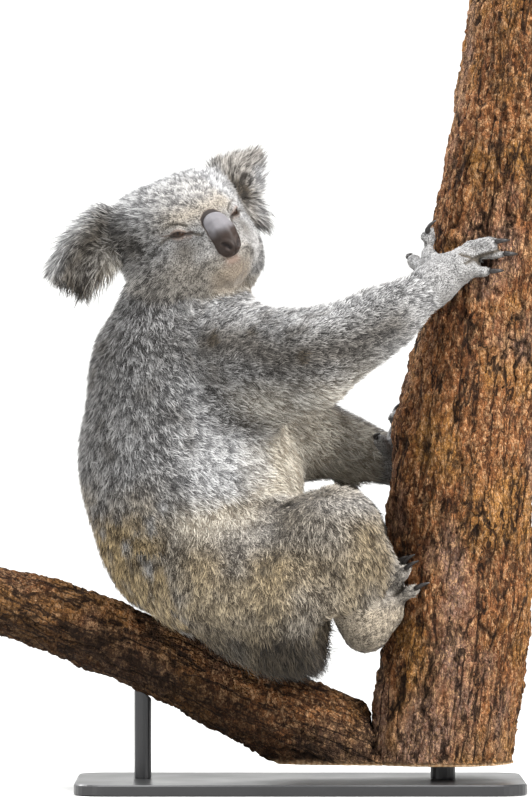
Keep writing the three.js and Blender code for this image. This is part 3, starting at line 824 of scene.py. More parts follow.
# Lines of pale, dark and cream fur on each ear, outwards and up from its middle
EAR_PALE = {
    "right": [(-0.040, 0.042), (-0.004, 0.034), (0.020, 0.024), (0.031, 0.006)],
    "left": [(0.032, 0.014), (0.022, -0.006), (0.010, -0.024), (-0.006, -0.034)],
}
EAR_DARK = {
    "right": [(-0.034, 0.016), (-0.004, 0.012), (0.026, -0.006), (0.020, -0.026), (0.002, -0.036)],
    "left": [(-0.030, 0.012), (0.000, 0.002)],
}
EAR_CREAM = {"right": [(-0.020, -0.014), (-0.010, -0.030)], "left": [(0.020, -0.034), (0.008, -0.044)]}

# Places on the right side of the face, in head coordinates; the left side mirrors them
UPPER_LIP = [(0.017, 0.069, -0.020), (0.028, 0.060, -0.023)]
LIPS = [(0, 0.037, -0.040), (0.006, 0.0365, -0.040)]  # with its forward place halved
SNOUT = [(0, 0.076, -0.016), (0, 0.077, -0.030)]
TEMPLE = [(0.064, 0.004, 0.012), (0.070, -0.010, 0.034)]
# where painted shade darkens the fur under the eye
UNDER_EYE = (0.037, 0.051, -0.010)

# Lines on the body as seen from the side: the pale groin, and the band of painted shade from the shoulder
# along the arm
FROM_SIDE = (1, 0, 1)
GROIN = [(-0.115, 0, 0.282), (-0.060, 0, 0.292)]
SHOULDER_SHADE = [
    (-0.125, 0, 0.470),
    (-0.060, 0, 0.468),
    (-0.025, 0, 0.452),
    (0.050, 0, 0.461),
    (0.095, 0, 0.487),
]

# The marks: pale and warm also carry painted light, dark and bare also painted shade
MARKS = ("pale", "cream", "warm", "dark", "bare")


def ear_place(local, side):
    """Where points are on an ear's flap, outwards and up from its middle."""
    middle, outwards, _, up = ear_axes(side)
    return np.stack(((local - middle) @ outwards, (local - middle) @ up), axis=1)


def ear_marks(local, side, share):
    """How pale, dark and cream an ear's fur is: pale by its rim, dark in the middle, cream by the root."""
    flat = ear_place(local, side)
    pale = share * 1.1 * lump(line_distance(flat, EAR_PALE[side]), 0.009)
    dark = share * 1.1 * lump(line_distance(flat, EAR_DARK[side]), 0.011)
    cream = share * 0.5 * lump(line_distance(flat, EAR_CREAM[side]), 0.012)
    return pale, dark, cream


def hollows(points, edges, normals):
    """How deep each point lies in a hollow, in metres."""
    return np.sum((relax(points, edges, 12) - points) * normals, axis=1)


def survey(points, normals, shares):
    """What the markings go by: regions, places on the body and head, and patches of noise."""
    on = SimpleNamespace(**{kind: share_of(shares, kind) for kind in ("trunk", "head", "ear", *LIMBS)})
    on.points, on.normals = points, normals
    on.x, _, on.z = points.T
    on.local = to_head(points)
    on.right = mirrored_to_right(on.local)
    on.out, on.forward, on.below = on.right.T * np.array((1, 1, -1))[:, None]
    on.blotch = noise(points, 0.034, 21)
    on.fine = noise(points, 0.013, 22)
    on.facing_down = ramp(-normals[:, 2] + 0.2 * on.blotch, 0.2, 0.9)
    on.forearm = ramp(on.x + 0.01 * on.blotch, 0.045, 0.095)
    chin = ramp(on.below, 0.034, 0.050) * (1 - ramp(on.out, 0.010, 0.030)) * ramp(on.forward, 0.02, 0.04)
    on.chin = on.head * chin
    low = on.trunk * ramp(-on.z + 0.03 * on.blotch, -0.345, -0.225)
    on.rump = low * ramp(on.fine, -1.0, 0.3)
    seated = ramp(-on.z + 0.03 * on.blotch, -0.27, -0.20) * ramp(-on.x, -0.02, 0.05)
    on.hip = (on.trunk + on.leg) * seated * ramp(on.fine, -0.5, 0.5)
    # the nose pad's crease, which gets painted shade
    on.crease = on.head * nose_edge(on.local)
    return on


def pale_and_lit_marks(on):
    """Silvery fur on the flank, the crown, the cheeks, the forearms and hands, with painted light on the
    far (left) cheek and on the arms and legs where they face up.
    """
    flank = ramp(on.x + 0.02 * on.blotch, -0.150, -0.085) * ramp(on.z + 0.02 * on.blotch, 0.225, 0.320)
    waist = ramp(on.z, 0.26, 0.34) * (1 - ramp(on.z, 0.41, 0.47))
    pale = on.trunk * (0.9 * flank + 0.25 * waist)
    cheek = ramp(on.below, -0.004, 0.022) * ramp(-on.forward, -0.050, -0.010)
    # painted light: the far (left) cheek made lighter
    lit_left_cheek = ramp(-on.local[:, 0], 0.024, 0.044) * ramp(on.local[:, 1], -0.015, 0.015)
    crown = ramp(-on.below, 0.020, 0.045)
    lip = lump(line_distance(on.right, UPPER_LIP), 0.009)
    pale += on.head * (0.2 * cheek + 0.8 * lit_left_cheek + 0.7 * crown + 0.5 * lip)
    pale += 0.5 * on.arm * on.forearm + 0.15 * on.hand + 0.4 * on.foot * ramp(on.z, 0.185, 0.210)
    # painted light: the upper arms and the legs lighter where they face up
    return pale + ramp(on.normals[:, 2], 0.2, 0.8) * (0.60 * on.arm * (1 - on.forearm) + 0.45 * on.leg)


def cream_marks(on):
    """Cream fur on the belly, throat, groin, chin, jaw and hips, and under and inside the arms."""
    belly = ramp(on.x + 0.02 * on.blotch, -0.070, -0.030)
    throat = ramp(on.z, 0.470, 0.505) * ramp(on.x, -0.13, -0.08) * ramp(-on.normals[:, 2], -0.5, 0.3)
    groin = (on.trunk + on.leg) * lump(line_distance(on.points * FROM_SIDE, GROIN), 0.018)
    jaw = on.head * ramp(on.below, 0.054, 0.064)
    inner = ramp(-on.normals[:, 1] * np.sign(on.points[:, 1]), -0.1, 0.6)
    cream = on.trunk * (belly + throat) + 0.7 * groin + 0.25 * on.chin + 0.6 * jaw + 0.35 * on.hip
    return cream + on.arm * (0.6 * on.facing_down * (1 - on.forearm) + 0.8 * inner)


def warm_marks(on):
    """Yellowish fur on the rump, hips, thighs and feet, and some on the face and ears, with a warm tint low
    on the head painted for reflected light.
    """
    forehead = ramp(-on.below, 0.002, 0.026) * ramp(on.forward, 0.0, 0.04)
    forehead *= 1 - ramp(on.out, 0.030, 0.060)
    thigh = on.leg * np.clip(0.55 + 0.35 * on.blotch, 0, 1)
    warm = 1.2 * on.rump + 0.5 * on.hip + thigh + 0.5 * on.foot + 0.15 * on.ear + 0.35 * on.chin
    # painted reflected light: a warm tint over the lower half of the head
    return warm + on.head * (0.38 * forehead + 0.25 * ramp(on.below, 0.0, 0.03))


def dark_and_shaded_body_marks(on, hollow):
    """Dark flecks and a darker spine, with painted shade on the seat, in the band from the shoulder along
    the arm, low on the legs, under the hands, low on the feet, in the hollows and grooves of the paws, and
    under the head over the neck.
    """
    facing_down = -on.normals[:, 2]
    # painted shade low on the body where it sits
    seat_shade = ramp(-on.z, -0.172, -0.144) * ramp(on.x, -0.055, -0.005)
    flecked = on.trunk + 1.8 * on.leg + on.arm * (1 - on.forearm)
    flecks = flecked * ramp(on.fine + 0.5 * on.blotch, 0.25, 0.9)
    spine = on.trunk * ramp(-on.x, 0.17, 0.21) * ramp(on.z, 0.3, 0.36)
    # painted shade along the shoulder and the underside of the upper arm
    shoulder_band_shade = lump(line_distance(on.points * FROM_SIDE, SHOULDER_SHADE), 0.022)
    # painted shade low on the legs, most where they face down
    under_leg_shade = 0.4 * ramp(-on.z, -0.200, -0.150) * ramp(facing_down, -0.1, 0.7)
    under_leg_shade += 0.35 * ramp(-on.z, -0.205, -0.165)
    dark = 1.5 * (on.leg + on.trunk) * seat_shade + 0.40 * flecks * (1 - 0.7 * on.rump) + 0.3 * spine
    # painted shade in the shoulder's band and under the hands
    dark += (0.75 * on.arm + 0.35 * on.trunk) * shoulder_band_shade + 0.45 * on.hand * on.facing_down
    # painted shade low on the legs and feet
    dark += on.leg * under_leg_shade + 0.4 * on.foot * ramp(-on.z, -0.185, -0.150)
    # painted shade in the paws' hollows and in the grooves between the digits
    dark += (on.hand + 0.6 * on.foot) * (0.5 * ramp(hollow, 0.0004, 0.0014) + 1.1 * gap_share(on.points))
    # painted shade under the head where it hangs over the neck
    return dark + 2.2 * on.head * on.trunk * ramp(facing_down, -0.5, 0.4)


def dark_and_shaded_face_marks(on, rim):
    """Dark fur on the temples, with painted shade under the eyes, at the mouth's corners and the chin's
    sides, on the chin, in the folds of the face and in the nose pad's crease.
    """
    dark = 0.7 * lump(line_distance(on.right, TEMPLE), 0.020)
    # painted shade under the eye
    dark += 0.75 * lump(np.linalg.norm(on.right - UNDER_EYE, axis=1), 0.014)
    # painted shade at the mouth's corners and the chin's sides
    dark += 0.4 * lump(line_distance(on.right, MOUTH[3:]), 0.006)
    dark += 0.15 * lump(line_distance(on.right, CHIN_SIDE), 0.006)
    # painted shade in the folds round the eyes
    dark += 1.0 * lump(fold_distance(on.right, OUTER_FOLD), 0.0021)
    dark += 0.9 * lump(fold_distance(on.right, BROW_FOLD), 0.0015)
    dark += 0.9 * lump(fold_distance(on.right, TEAR_LINE), 0.0020)
    dark += 0.9 * lump(rim, 0.0008)
    # painted shade on the chin, which faces down, and in the nose pad's crease
    return on.head * dark + 0.3 * on.chin + 1.5 * on.crease


def bare_marks(on, rim):
    """Bare skin on the lips, the lids' rims and the snout, and in the nose pad's crease, where the dark
    leather is painted shade.
    """
    lips = on.head * lump(line_distance(on.right * (1, 0.5, 1), LIPS), 0.0042)
    lid_rim = on.head * lump(rim, 0.0026)
    snout = on.head * lump(line_distance(on.local, SNOUT), 0.014)
    bare = 0.45 * lips + 0.8 * lid_rim + 0.6 * ramp(snout, 0.35, 0.8) + 0.30 * on.chin
    # painted shade: the nose pad's crease takes the dark leather colour
    return bare * (1 - on.crease) + on.crease


def markings(points, normals, hollow, shares, rim):
    """How silvery, cream, warm, dark or bare the coat is at each point; the pale and warm marks also carry
    painted light, the dark and bare ones painted shade.
    """
    on = survey(points, normals, shares)
    found = {
        "pale": pale_and_lit_marks(on),
        "cream": cream_marks(on),
        "warm": warm_marks(on),
        "dark": dark_and_shaded_body_marks(on, hollow) + dark_and_shaded_face_marks(on, rim),
        "bare": bare_marks(on, rim),
    }
    for side in SIDES:
        share = on.ear * (on.local[:, 0] * FACE_SIDE[side] > 0)
        pale, dark, cream = ear_marks(on.local, side, share)
        found["pale"] += pale
        found["dark"] += dark * (0.8 + 0.5 * on.fine)
        found["cream"] += cream
    return {name: np.clip(values, 0, 1) for name, values in found.items()}


# ---------------------------------------------------------------- tufts


EAR_FOOT = (0.060, -0.010, 0.045)  # longer tufts close the gaps between head and ear here
EAR_LOBE = (0.068, -0.012, -0.004)


def coat_sizes(points, shares, marks, rim):
    """Length, width, lift and number per square millimetre of the tufts at each point."""
    local = to_head(points)
    right = mirrored_to_right(local)
    head, leg = share_of(shares, "head"), share_of(shares, "leg")
    table = np.array([COAT[KIND[name]] for name in REGION_NAMES])
    sizes = shares @ table[:, :4]
    near_face = head * face_share(local)
    sizes += near_face[:, None] * (np.array(FACE_COAT[:4]) - np.array(COAT["head"][:4]))
    length, width, lift, number = sizes.T
    ruff = head * ramp(-local[:, 2], 0.005, 0.045) * (1 - ramp(local[:, 1], 0.0, 0.04))
    ear_foot = head * lump(np.linalg.norm(right - EAR_FOOT, axis=1), 0.026)
    ear_lobe = head * lump(np.linalg.norm(right - EAR_LOBE, axis=1), 0.022)
    fringe = leg * ramp(-points[:, 2], -0.175, -0.135)
    heel = leg * ramp(points[:, 0], -0.005, 0.020) * ramp(-points[:, 2], -0.195, -0.170)
    under_arm = share_of(shares, "arm") * marks["cream"]
    length = length + 0.006 * ruff + 0.009 * ear_foot + 0.007 * ear_lobe
    length = length + 0.013 * fringe + 0.008 * heel + 0.005 * under_arm
    length = length * (1 + 0.18 * noise(points, 0.020, 41)) * (1 - 0.75 * marks["bare"])
    number = number * (1 - 0.9 * ramp(marks["bare"], 0.35, 0.75)) * ramp(rim, 0.0003, 0.0010)
    number = number * ramp(nose_distance(local), 0.0, 0.0010) * (1 - 0.75 * gap_share(points))
    return length, width, np.radians(lift + 16 * fringe), number


def sow(weights, count):
    """Spreads count seeds over faces of those weights, and gives each seed's face and place in it."""
    edges = np.cumsum(weights)
    steps = (np.arange(count) + rng.random(count)) / count * edges[-1]
    face = np.minimum(np.searchsorted(edges, steps), len(weights) - 1)
    a, b = rng.random(count), rng.random(count)
    flip = a + b > 1
    a, b = np.where(flip, 1 - a, a), np.where(flip, 1 - b, b)
    return face, np.stack((1 - a - b, a, b), axis=1)


def unwrapped(name, points, triangles):
    """Each triangle's corners on a flat map of the piece's own shape."""
    used, corners = np.unique(triangles, return_inverse=True)
    mesh = mesh_from(name, points[used], corners.reshape(-1, 3))
    plain = object_from(name, mesh)
    bpy.context.view_layer.objects.active = plain
    plain.select_set(True)
    bpy.ops.object.mode_set(mode="EDIT")
    bpy.ops.mesh.select_all(action="SELECT")
    bpy.ops.uv.smart_project(angle_limit=math.radians(70), island_margin=0.004)
    bpy.ops.object.mode_set(mode="OBJECT")
    flat = np.empty(len(mesh.loops) * 2, np.float32)
    mesh.uv_layers.active.data.foreach_get("uv", flat)
    bpy.data.objects.remove(plain)
    bpy.data.meshes.remove(mesh)
    return flat.reshape(-1, 3, 2)


def gathered(tips, roots, ahead, every, pull):
    """Draws the tips of neighbouring tufts together into locks."""
    leaders = np.arange(0, len(roots), every)
    tree = KDTree(len(leaders))
    for i, leader in enumerate(leaders):
        tree.insert(Vector(roots[leader]), i)
    tree.balance()
    nearest = leaders[[tree.find(Vector(p))[1] for p in roots]]
    meeting = roots[nearest] + ahead[nearest] * np.linalg.norm(tips - roots, axis=1)[:, None]
    return tips + pull[:, None] * (meeting - tips), nearest


def tuft_arrays(seeds, sections):
    """Closed three-sided tufts: points, faces, share along, places on the map, and points in each."""
    count = len(seeds["at"])
    per_tuft = 3 * sections + 1
    across = unit(np.cross(seeds["out"], seeds["lie"]))
    middle = seeds["at"] - 0.0005 * seeds["out"]
    points = np.empty((count, per_tuft, 3))
    along = np.empty((count, per_tuft))
    patch = np.empty((per_tuft, 2))
    bend = seeds["end"] - (seeds["at"] + seeds["chord"])
    for ring in range(sections):
        share = ring / sections
        angle = (seeds["lift"] * (1 - LAID_DOWN * share))[:, None]
        up = np.cos(angle) * seeds["out"] - np.sin(angle) * seeds["lie"]
        wide = (seeds["width"] * (0.8 + 0.5 * share) * (1 - share) ** 0.6)[:, None]
        spine = middle + bend * share**1.5
        points[:, ring * 3] = spine - across * wide / 2
        points[:, ring * 3 + 1] = spine + across * wide / 2
        points[:, ring * 3 + 2] = spine + up * wide * 0.42
        along[:, ring * 3 : ring * 3 + 3] = share
        patch[ring * 3 : ring * 3 + 3] = [[-1, 2 * share - 1], [1, 2 * share - 1], [0, 2 * share - 1]]
        step = seeds["length"][:, None] / sections
        middle = middle + step * (np.cos(angle) * seeds["lie"] + np.sin(angle) * seeds["out"])
    points[:, -1] = middle + bend
    along[:, -1] = 1
    patch[-1] = (0, 1)
    faces = [(0, 2, 1)]
    for ring in range(sections - 1):
        low, high = ring * 3, ring * 3 + 3
        for i, j in ((0, 1), (1, 2), (2, 0)):
            faces += [(low + i, low + j, high + j), (low + i, high + j, high + i)]
    last = (sections - 1) * 3
    faces += [(last + i, last + j, per_tuft - 1) for i, j in ((0, 1), (1, 2), (2, 0))]
    corners = (np.arange(count)[:, None, None] * per_tuft + np.array(faces)[None]).reshape(-1, 3)
    places = seeds["uv"][:, None] + PATCH * patch
    return points.reshape(-1, 3), corners, along.ravel(), places.reshape(-1, 2), per_tuft


def tuft_mesh(name, layers):
    """One mesh of several layers of tufts, each a set of seeds and a number of sections."""
    built = [tuft_arrays(seeds, sections) for seeds, sections in layers]
    starts = np.cumsum([0] + [len(points) for points, *_ in built])
    points = np.concatenate([part[0] for part in built])
    corners = np.concatenate([part[1] + start for part, start in zip(built, starts)]).ravel()
    places = np.concatenate([part[3] for part in built])[corners]
    mesh = bpy.data.meshes.new(name)
    mesh.vertices.add(len(points))
    mesh.vertices.foreach_set("co", points.astype(np.float32).ravel())
    mesh.loops.add(len(corners))
    mesh.loops.foreach_set("vertex_index", corners.astype(np.int32))
    mesh.polygons.add(len(corners) // 3)
    mesh.polygons.foreach_set("loop_start", np.arange(0, len(corners), 3, dtype=np.int32))
    mesh.update(calc_edges=True)
    smooth_shaded(mesh)
    layer = mesh.uv_layers.new(name="OFBake")
    layer.data.foreach_set("uv", np.clip(places, 0, 1).astype(np.float32).ravel())
    put_numbers(mesh, "along", np.concatenate([part[2] for part in built]))
    for mark in (*MARKS, "strand"):
        values = [np.repeat(seeds[mark], part[4]) for (seeds, _), part in zip(layers, built)]
        put_numbers(mesh, mark, np.concatenate(values))
    surface = [np.repeat(seeds["out"], part[4], axis=0) for (seeds, _), part in zip(layers, built)]
    body_normal = mesh.attributes.new("body_normal", "FLOAT_VECTOR", "POINT")
    body_normal.data.foreach_set("vector", np.concatenate(surface).astype(np.float32).ravel())
    return mesh


def coat_pieces(points, triangles, shares):
    """Names of the coat's pieces, each with its triangles."""
    waist = 0.345
    label = np.argmax(shares[triangles].sum(axis=1), axis=1)
    middle = points[triangles].mean(axis=1)
    local = to_head(middle)
    right_side = middle[:, 1] < 0
    high = middle[:, 2] > waist
    found = {}
    for i, name in enumerate(REGION_NAMES):
        here = label == i
        if name == "trunk":
            for side, on_side in (("right", right_side), ("left", ~right_side)):
                found[f"coat_shoulder_{side}"] = here & on_side & high
                found[f"coat_rump_{side}"] = here & on_side & ~high
        elif name == "head":
            face = face_share(local) > 0.4
            found["coat_face"] = here & face
            for side, on_side in (("right", local[:, 0] > 0), ("left", local[:, 0] <= 0)):
                found[f"coat_head_{side}"] = here & ~face & on_side
        elif KIND[name] in ("hand", "foot"):
            piece = f"coat_{KIND[name]}s"
            found[piece] = found.get(piece, False) | here
        else:
            found[f"coat_{name}"] = here
    return {name: np.flatnonzero(here) for name, here in found.items()}


def ear_reach(side, roots, lie):
    """How far each tuft on an ear runs: as long as it would be, but not out of the fringe's outline."""
    _, outwards, _, up = ear_axes(side)
    flat = ear_place(to_head(roots), side)
    way = np.stack((lie @ HEAD_AXES.T @ outwards, lie @ HEAD_AXES.T @ up), axis=1)
    turn = np.degrees(np.arctan2(flat[:, 1], flat[:, 0]))
    near_rim = np.linalg.norm(flat, axis=1) / (fringe_outline(side, turn) - fringe_length(side, turn))
    wanted = COAT["ear"][0] + 1.6 * fringe_length(side, turn) * ramp(near_rim, 0.5, 0.9)
    reach = np.full(len(roots), 0.004)
    inside = np.ones(len(roots), bool)
    for step in np.arange(0.004, 0.056, 0.001):
        place = flat + way * step
        turn = np.degrees(np.arctan2(place[:, 1], place[:, 0]))
        inside &= np.linalg.norm(place, axis=1) < fringe_outline(side, turn)
        reach = np.where(inside, step, reach)
    return np.minimum(reach, wanted)


def chord_of(seeds, sections):
    """The way from each tuft's root to its tip, as it bends down to the skin."""
    chord = np.zeros_like(seeds["at"])
    for ring in range(sections):
        angle = (seeds["lift"] * (1 - LAID_DOWN * ring / sections))[:, None]
        ahead = np.cos(angle) * seeds["lie"] + np.sin(angle) * seeds["out"]
        chord += ahead * seeds["length"][:, None] / sections
    return chord


def strand_shades(ends, leader):
    """How light each tuft is: flecked over the body, and a little different by lock and by tuft."""
    shade = 0.5 + 1.50 * noise(ends, 0.0033, 51) + 0.35 * noise(ends, 0.0070, 52)
    shade += 0.25 * noise(ends, 0.015, 53)
    own = rng.normal(0, 0.30, len(ends))
    return np.clip(shade + 0.6 * own + 0.6 * own[leader], 0, 1)


def planted(piece, body, faces, uv, weights, layer):
    """One layer of a piece's tufts: where each is rooted, how it lies and ends, its markings and shade."""
    share, sections, shorter = layer
    count = int(weights.sum() * share)
    face, place = sow(weights, count)
    ear = "ear" in piece

    def at(values):
        return np.einsum("nc,nc...->n...", place, values[faces[face]])

    out = unit(at(body["normals"]))
    flow = unit(at(body["lie"])) + (EAR_STRAY if ear else STRAY) * rng.normal(0, 1, (count, 3))
    flow = unit(flow - out * np.sum(flow * out, axis=1, keepdims=True))
    seeds = {
        "at": at(body["points"]),
        "out": out,
        "lie": flow,
        "length": at(body["length"]) * rng.uniform(0.7, 1.15, count) * shorter,
        "width": at(body["width"]) * rng.uniform(0.75, 1.25, count),
        "lift": at(body["lift"]) * rng.uniform(0.5, 1.4, count),
        "uv": np.einsum("nc,nck->nk", place, uv[face]),
    }
    if ear:
        reach = ear_reach(piece.rsplit("_", 1)[1], seeds["at"], flow)
        seeds["length"] = reach * rng.uniform(0.75, 1.12, count) * shorter
    seeds.update({mark: np.clip(at(body[mark]), 0, 1) for mark in MARKS})
    seeds["chord"] = chord_of(seeds, sections)
    pull = np.full(count, 0.5 if ear else 0.4) * (1 - 0.5 * ("face" in piece))
    tips = seeds["at"] + seeds["chord"]
    seeds["end"], leader = gathered(tips, seeds["at"], unit(seeds["chord"]), LOCK, pull)
    seeds["strand"] = strand_shades(seeds["end"], leader)
    return seeds, sections


def make_coat(points, edges, triangles, shares, marks, rim):
    """The coat's pieces, each one mesh of tufts."""
    normals = normals_of(points, triangles)
    lie = lie_of_coat(points, edges, normals, shares)
    length, width, lift, number = coat_sizes(points, shares, marks, rim)
    body = {"points": points, "normals": normals, "lie": lie, **marks}
    body.update(length=length, width=width, lift=lift)
    a, b, c = (points[triangles[:, i]] for i in range(3))
    areas = np.linalg.norm(np.cross(b - a, c - a), axis=1) / 2 * 1e6  # square millimetres
    made = []
    for name, chosen in coat_pieces(points, triangles, shares).items():
        faces = triangles[chosen]
        uv = unwrapped(name, points, faces)
        weights = areas[chosen] * number[faces].mean(axis=1)
        layers = [planted(name, body, faces, uv, weights, layer) for layer in COAT_LAYERS]
        cost = sum(len(seeds["at"]) * (6 * sections - 2) for seeds, sections in layers)
        if cost > TRIANGLES_PER_PIECE:
            raise ValueError(f"{name} has {cost} triangles")
        made.append(object_from(name, tuft_mesh(name, layers)))
    return made


# ---------------------------------------------------------------- materials


class Painter:
    """Places and links the nodes of a material or a group."""

    def __init__(self, tree):
        self.tree = tree

    def node(self, kind, settings=None, **links):
        made = self.tree.nodes.new(kind)
        for key, value in (settings or {}).items():
            setattr(made, key, value)
        for key, value in links.items():
            self.feed(made, key, value)
        return made

    def feed(self, node, key, value):
        """Sets or links a socket, which is called by its name, or by i and its number."""
        by_number = key[0] == "i" and key[1:].isdigit()
        socket = node.inputs[int(key[1:]) if by_number else key.replace("_", " ")]
        if isinstance(value, bpy.types.NodeSocket):
            self.tree.links.new(value, socket)
        else:
            socket.default_value = value

    def mix(self, share, first, second, blend="MIX"):
        made = self.tree.nodes.new("ShaderNodeMix")
        made.data_type = "RGBA"
        made.blend_type = blend
        self.feed(made, "i0", share)
        self.feed(made, "i6", first)
        self.feed(made, "i7", second)
        return made.outputs[2]

    def math(self, kind, *values):
        made = self.tree.nodes.new("ShaderNodeMath")
        made.operation = kind
        for i, value in enumerate(values):
            self.feed(made, f"i{i}", value)
        return made.outputs[0]

    def spread(self, value, low, high, to_low=0.0, to_high=1.0):
        made = self.tree.nodes.new("ShaderNodeMapRange")
        for i, number in enumerate((value, low, high, to_low, to_high)):
            self.feed(made, f"i{i}", number)
        return made.outputs[0]

    def number(self, name):
        return self.node("ShaderNodeAttribute", {"attribute_name": name}).outputs["Fac"]

    def noise(self, scale, detail=3.0, stretch=None, roughness=0.55):
        place = self.node("ShaderNodeNewGeometry").outputs["Position"]
        if stretch:
            place = self.node("ShaderNodeMapping", Vector=place, Scale=stretch).outputs[0]
        shape = {"Scale": scale, "Detail": detail, "Roughness": roughness}
        return self.node("ShaderNodeTexNoise", Vector=place, **shape).outputs["Fac"]

    def crumbs(self, scale, wander, stretch):
        """Crumbs of that many a metre with uneven edges: a shade for each, and how far its edge is."""
        place = self.node("ShaderNodeNewGeometry").outputs["Position"]
        stir = self.node("ShaderNodeTexNoise", Vector=place, Scale=0.7 * scale, Detail=3.0).outputs["Color"]
        shift = self.node("ShaderNodeVectorMath", {"operation": "SCALE"}, i0=stir, Scale=wander).outputs[0]
        place = self.node("ShaderNodeVectorMath", {"operation": "ADD"}, i0=place, i1=shift).outputs[0]
        place = self.node("ShaderNodeMapping", Vector=place, Scale=stretch).outputs[0]
        whole = self.node("ShaderNodeTexVoronoi", Vector=place, Scale=scale)
        edge = self.node("ShaderNodeTexVoronoi", {"feature": "DISTANCE_TO_EDGE"}, Vector=place, Scale=scale)
        shade = self.node("ShaderNodeSeparateColor", Color=whole.outputs["Color"]).outputs[0]
        return shade, edge.outputs["Distance"]

    def cracks(self, lean, scale, width):
        """Wandering lines along a grain that leans from upright about Y: 1 in a line and 0 beside it."""
        place = self.node("ShaderNodeNewGeometry").outputs["Position"]
        turned = self.node("ShaderNodeVectorRotate", {"rotation_type": "Y_AXIS"}, Vector=place, Angle=lean)
        drawn_out = self.node("ShaderNodeMapping", Vector=turned.outputs[0], Scale=(1, 1, 0.17)).outputs[0]
        field = self.node("ShaderNodeTexNoise", Vector=drawn_out, Scale=scale, Detail=3.0, Distortion=0.25)
        off_line = self.math("ABSOLUTE", self.math("SUBTRACT", field.outputs["Fac"], 0.5))
        return self.spread(off_line, 0.3 * width, width, 1.0, 0.0)

    def bump(self, height, strength, distance):
        made = self.node("ShaderNodeBump", Height=height, Strength=strength, Distance=distance)
        return made.outputs["Normal"]


def rgb(red, green, blue):
    return (red, green, blue, 1.0)


def material(name, slot_roughness, **fixed):
    """A new material, its painter and its shader."""
    made = bpy.data.materials.new(name)
    made.use_nodes = True
    shader = made.node_tree.nodes["Principled BSDF"]
    shader.inputs["Roughness"].default_value = slot_roughness
    for key, value in fixed.items():
        shader.inputs[key.replace("_", " ")].default_value = value
    return made, Painter(made.node_tree), shader


def new_group(name, inputs, outputs):
    """A group with named sockets, each a Float or a Color: the group, its painter and what it is given."""
    group = bpy.data.node_groups.new(name, "ShaderNodeTree")
    for in_out, sockets in (("INPUT", inputs), ("OUTPUT", outputs)):
        for label, kind in sockets.items():
            group.interface.new_socket(label, in_out=in_out, socket_type=f"NodeSocket{kind}")
    paint = Painter(group)
    return group, paint, paint.node("NodeGroupInput").outputs


# The darkest and the lightest strand of each fur
FUR_COLOURS = {
    "grey": (rgb(0.030, 0.029, 0.029), rgb(0.52, 0.515, 0.51)),
    "silver": (rgb(0.20, 0.20, 0.205), rgb(0.72, 0.72, 0.72)),
    "cream": (rgb(0.40, 0.34, 0.26), rgb(0.88, 0.82, 0.70)),
    "warm": (rgb(0.090, 0.056, 0.020), rgb(0.64, 0.475, 0.24)),
    # the dark fur also paints the shade that the dark mark carries
    "dark": (rgb(0.011, 0.008, 0.005), rgb(0.10, 0.078, 0.052)),
}
# Painted shade that darkens each tuft towards its root
ROOT_SHADE = rgb(0.035, 0.030, 0.026)
# the dark leather also paints the shade in the nose pad's crease
LEATHER = (rgb(0.175, 0.115, 0.088), rgb(0.016, 0.010, 0.008))  # pale and dark bare skin


def fur_group():
    """The coat's colour from its markings, a strand's own shade, and the way from its root to its tip, with
    painted shade deepening towards the root.
    """
    inputs = dict.fromkeys(("Pale", "Cream", "Warm", "Dark", "Bare", "Strand", "Along"), "Float")
    group, paint, given = new_group("fur_colour", inputs, {"Colour": "Color"})
    strand, along = given["Strand"], given["Along"]
    fur = {name: paint.mix(strand, *colours) for name, colours in FUR_COLOURS.items()}
    colour = paint.mix(given["Warm"], fur["grey"], fur["warm"])
    colour = paint.mix(given["Pale"], colour, fur["silver"])
    colour = paint.mix(given["Cream"], colour, fur["cream"])
    # the dark mark: dark fur and painted shade
    colour = paint.mix(given["Dark"], colour, fur["dark"])
    tipped = paint.math("MULTIPLY", paint.math("SUBTRACT", 0.9, strand), paint.spread(along, 0.65, 0.95))
    colour = paint.mix(tipped, colour, fur["dark"])
    # painted shade: each tuft darkens towards its root, and pale and cream fur less so
    root = paint.mix(0.78, colour, ROOT_SHADE)
    with_root_shade = paint.mix(paint.spread(along, 0.0, 0.75), root, colour)
    less_root_shade = paint.math("MULTIPLY", paint.math("MAXIMUM", given["Cream"], given["Pale"]), 0.6)
    coated = paint.mix(less_root_shade, with_root_shade, colour)
    leather = paint.mix(given["Dark"], *LEATHER)
    paint.node("NodeGroupOutput", Colour=paint.mix(given["Bare"], coated, leather))
    return group


FUR = fur_group()


def fur_colour(paint, strand, along):
    placed = paint.node("ShaderNodeGroup", {"node_tree": FUR})
    for mark in MARKS:
        paint.feed(placed, mark.capitalize(), paint.number(mark))
    paint.feed(placed, "Strand", strand)
    paint.feed(placed, "Along", along)
    return placed.outputs["Colour"]


def coat_material():
    """Fur that takes half its shading from the body and half from each tuft."""
    sheen = {"Sheen_Weight": 0.1, "Sheen_Roughness": 0.5}
    made, paint, shader = material("coat", 0.6, Specular_IOR_Level=0.22, **sheen)
    colour = fur_colour(paint, paint.number("strand"), paint.number("along"))
    paint.feed(shader, "Base Color", colour)
    own = paint.node("ShaderNodeNewGeometry").outputs["Normal"]
    body = paint.node("ShaderNodeAttribute", {"attribute_name": "body_normal"}).outputs["Vector"]
    both = paint.node("ShaderNodeMix", {"data_type": "VECTOR"}, i0=0.5, i4=own, i5=body).outputs[1]
    normal = paint.node("ShaderNodeVectorMath", {"operation": "NORMALIZE"}, i0=both).outputs[0]
    paint.feed(shader, "Normal", normal)
    return made


